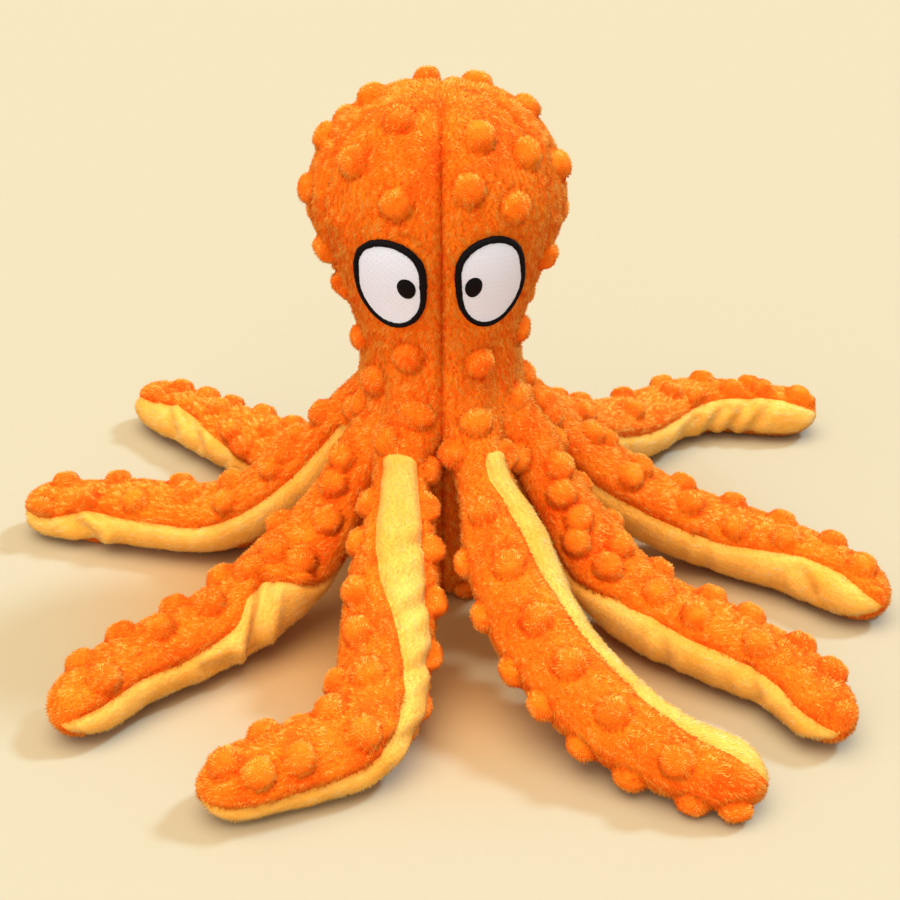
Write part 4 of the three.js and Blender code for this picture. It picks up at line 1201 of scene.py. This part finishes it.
def halfArmSkin(name, node, kind, skin, part, path, centres, materials):
    # the cloth and the pile of those rows: the pile lies along the arm, with painted shade at the strip's
    # seam
    rows = skin["rows"][part]
    outer, inner, facing = (skin[key][part] for key in ("outer", "inner", "facing"))
    cloth = shell(name, outer, inner, materials[kind + "Backing"], facing=facing)
    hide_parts(node + ("_top" if kind == "top" else "_underside"))
    point, normal, edge = (skin[key][part] for key in ("point", "normal", "fromEdge"))
    sewn = smooth((rows - limb["stripStart"]) / limb["shadeRun"])[:, None]
    lay = np.repeat(armFrame(path, rows)[1][:, None], outer.shape[1], 1)
    paintedShading = -limb["seamPaintedShade"] * sewn * (1 - smooth(edge / limb["seamShade"]))
    cut = np.ones(paintedShading.shape)
    if kind == "top":
        lay, bumpPaintedShading, cut = bumpPile(point, normal, centres, lay)
        paintedShading = paintedShading + bumpPaintedShading
    # none inside the body, and none on the strip's hidden rows
    allowed = np.hypot(outer[..., 0], outer[..., 1]) >= bagRadius(outer[..., 2]) - 0.5
    if kind == "strip":
        allowed &= (rows > limb["stripStart"] + 1)[:, None]
    look = orangeTuft if kind == "top" else yellowTuft
    tufts = pile(name + "Pile", outer, facing, lay, paintedShading, cut, allowed, look, materials[kind + "Pile"])
    return [cloth, tufts]


def halfArmWadding(name, node, rows, path, materials):
    # loose wadding inside the half arm, short of the tip: its section between two shares of the arm's
    rows = rows[rows < path["dome"] + limb["fillEnd"] * limb["tip"]][::limb["fillEvery"]]
    turn = np.repeat(np.linspace(0, 360, limb["fillTurns"])[None], len(rows), 0)
    point, _ = armSurface(path, rows, turn)
    middle = armFrame(path, rows)[0][:, None]
    outer, inner = (middle + share * (point - middle) for share in (limb["fillOuter"], limb["fillInner"]))
    fill = shell(name, outer, inner, materials["wadding"])
    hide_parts(node + "_filling")
    return fill


def makeArm(number, arm, paths, materials):
    path = paths[number - 1]
    skins = armSkins(arm, path)
    centres = armBumps(arm, path, skins["top"])
    armCloth(number, arm, path, [paths[(number - 2) % 8], paths[number % 8]], skins, centres)

    def place(distance):
        return (onLine(path, distance) * mm).tolist()

    # the arm is made as an inner half from the body and an outer half beyond a split just before the knee;
    # the places at the root and the knee where they would bend are worked out but not used
    upper, lower = f"arm_{number}_upper", f"arm_{number}_lower"
    root, knee = limb["rootBend"], path["knee"] + limb["bendHalf"] * np.array([-1, 1])
    split = knee[0] - 2
    halves = {"Inner": (upper, "body", upper, place(root[0]), place(root[1])),
              "Outer": (lower, upper, lower, place(knee[0]), place(knee[1]))}
    for half, (node, near, far, start, end) in halves.items():
        name = f"arm{number}{half}"
        pieces = []
        for kind, skin in skins.items():
            cut = int(np.argmin(np.abs(skin["rows"] - split)))
            part = slice(0, cut + 1) if half == "Inner" else slice(cut, None)
            pieces += halfArmSkin(name + kind.capitalize(), node, kind, skin, part, path, centres, materials)
        rows = skins["top"]["rows"]
        rows = rows[rows <= split] if half == "Inner" else rows[rows > split]
        pieces.append(halfArmWadding(name + "Wadding", node, rows, path, materials))
        for piece in pieces:
            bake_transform(piece)
        print(name, len(centres), "bumps on the arm,", sum(len(p.data.polygons) for p in pieces), "faces")


def build():
    makeCamera()
    makeStage()
    materials = {"topBacking": fleeceBacking("orangeFleeceBacking", plushLook),
                 "topPile": fleecePile("orangeFleecePile", plushLook),
                 "stripBacking": fleeceBacking("yellowFleeceBacking", stripLook),
                 "stripPile": fleecePile("yellowFleecePile", stripLook),
                 "wadding": looseFibre()}
    shapes = {side: eyeFrame(eyes[side]) for side in ("left", "right")}
    paths = [armLine(arm) for arm in arms]
    makeGores(shapes, paths, materials)
    makeWadding(materials)
    makePanel(materials)
    makeEyes(shapes)
    for i, arm in enumerate(arms):
        makeArm(i + 1, arm, paths, materials)
    plastic = blownPlastic()
    for node in ("squeaker_bulb", "squeaker_reed"):
        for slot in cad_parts[node].material_slots:
            slot.material = plastic
    bpy.context.scene.view_settings.view_transform = "Standard"


build()
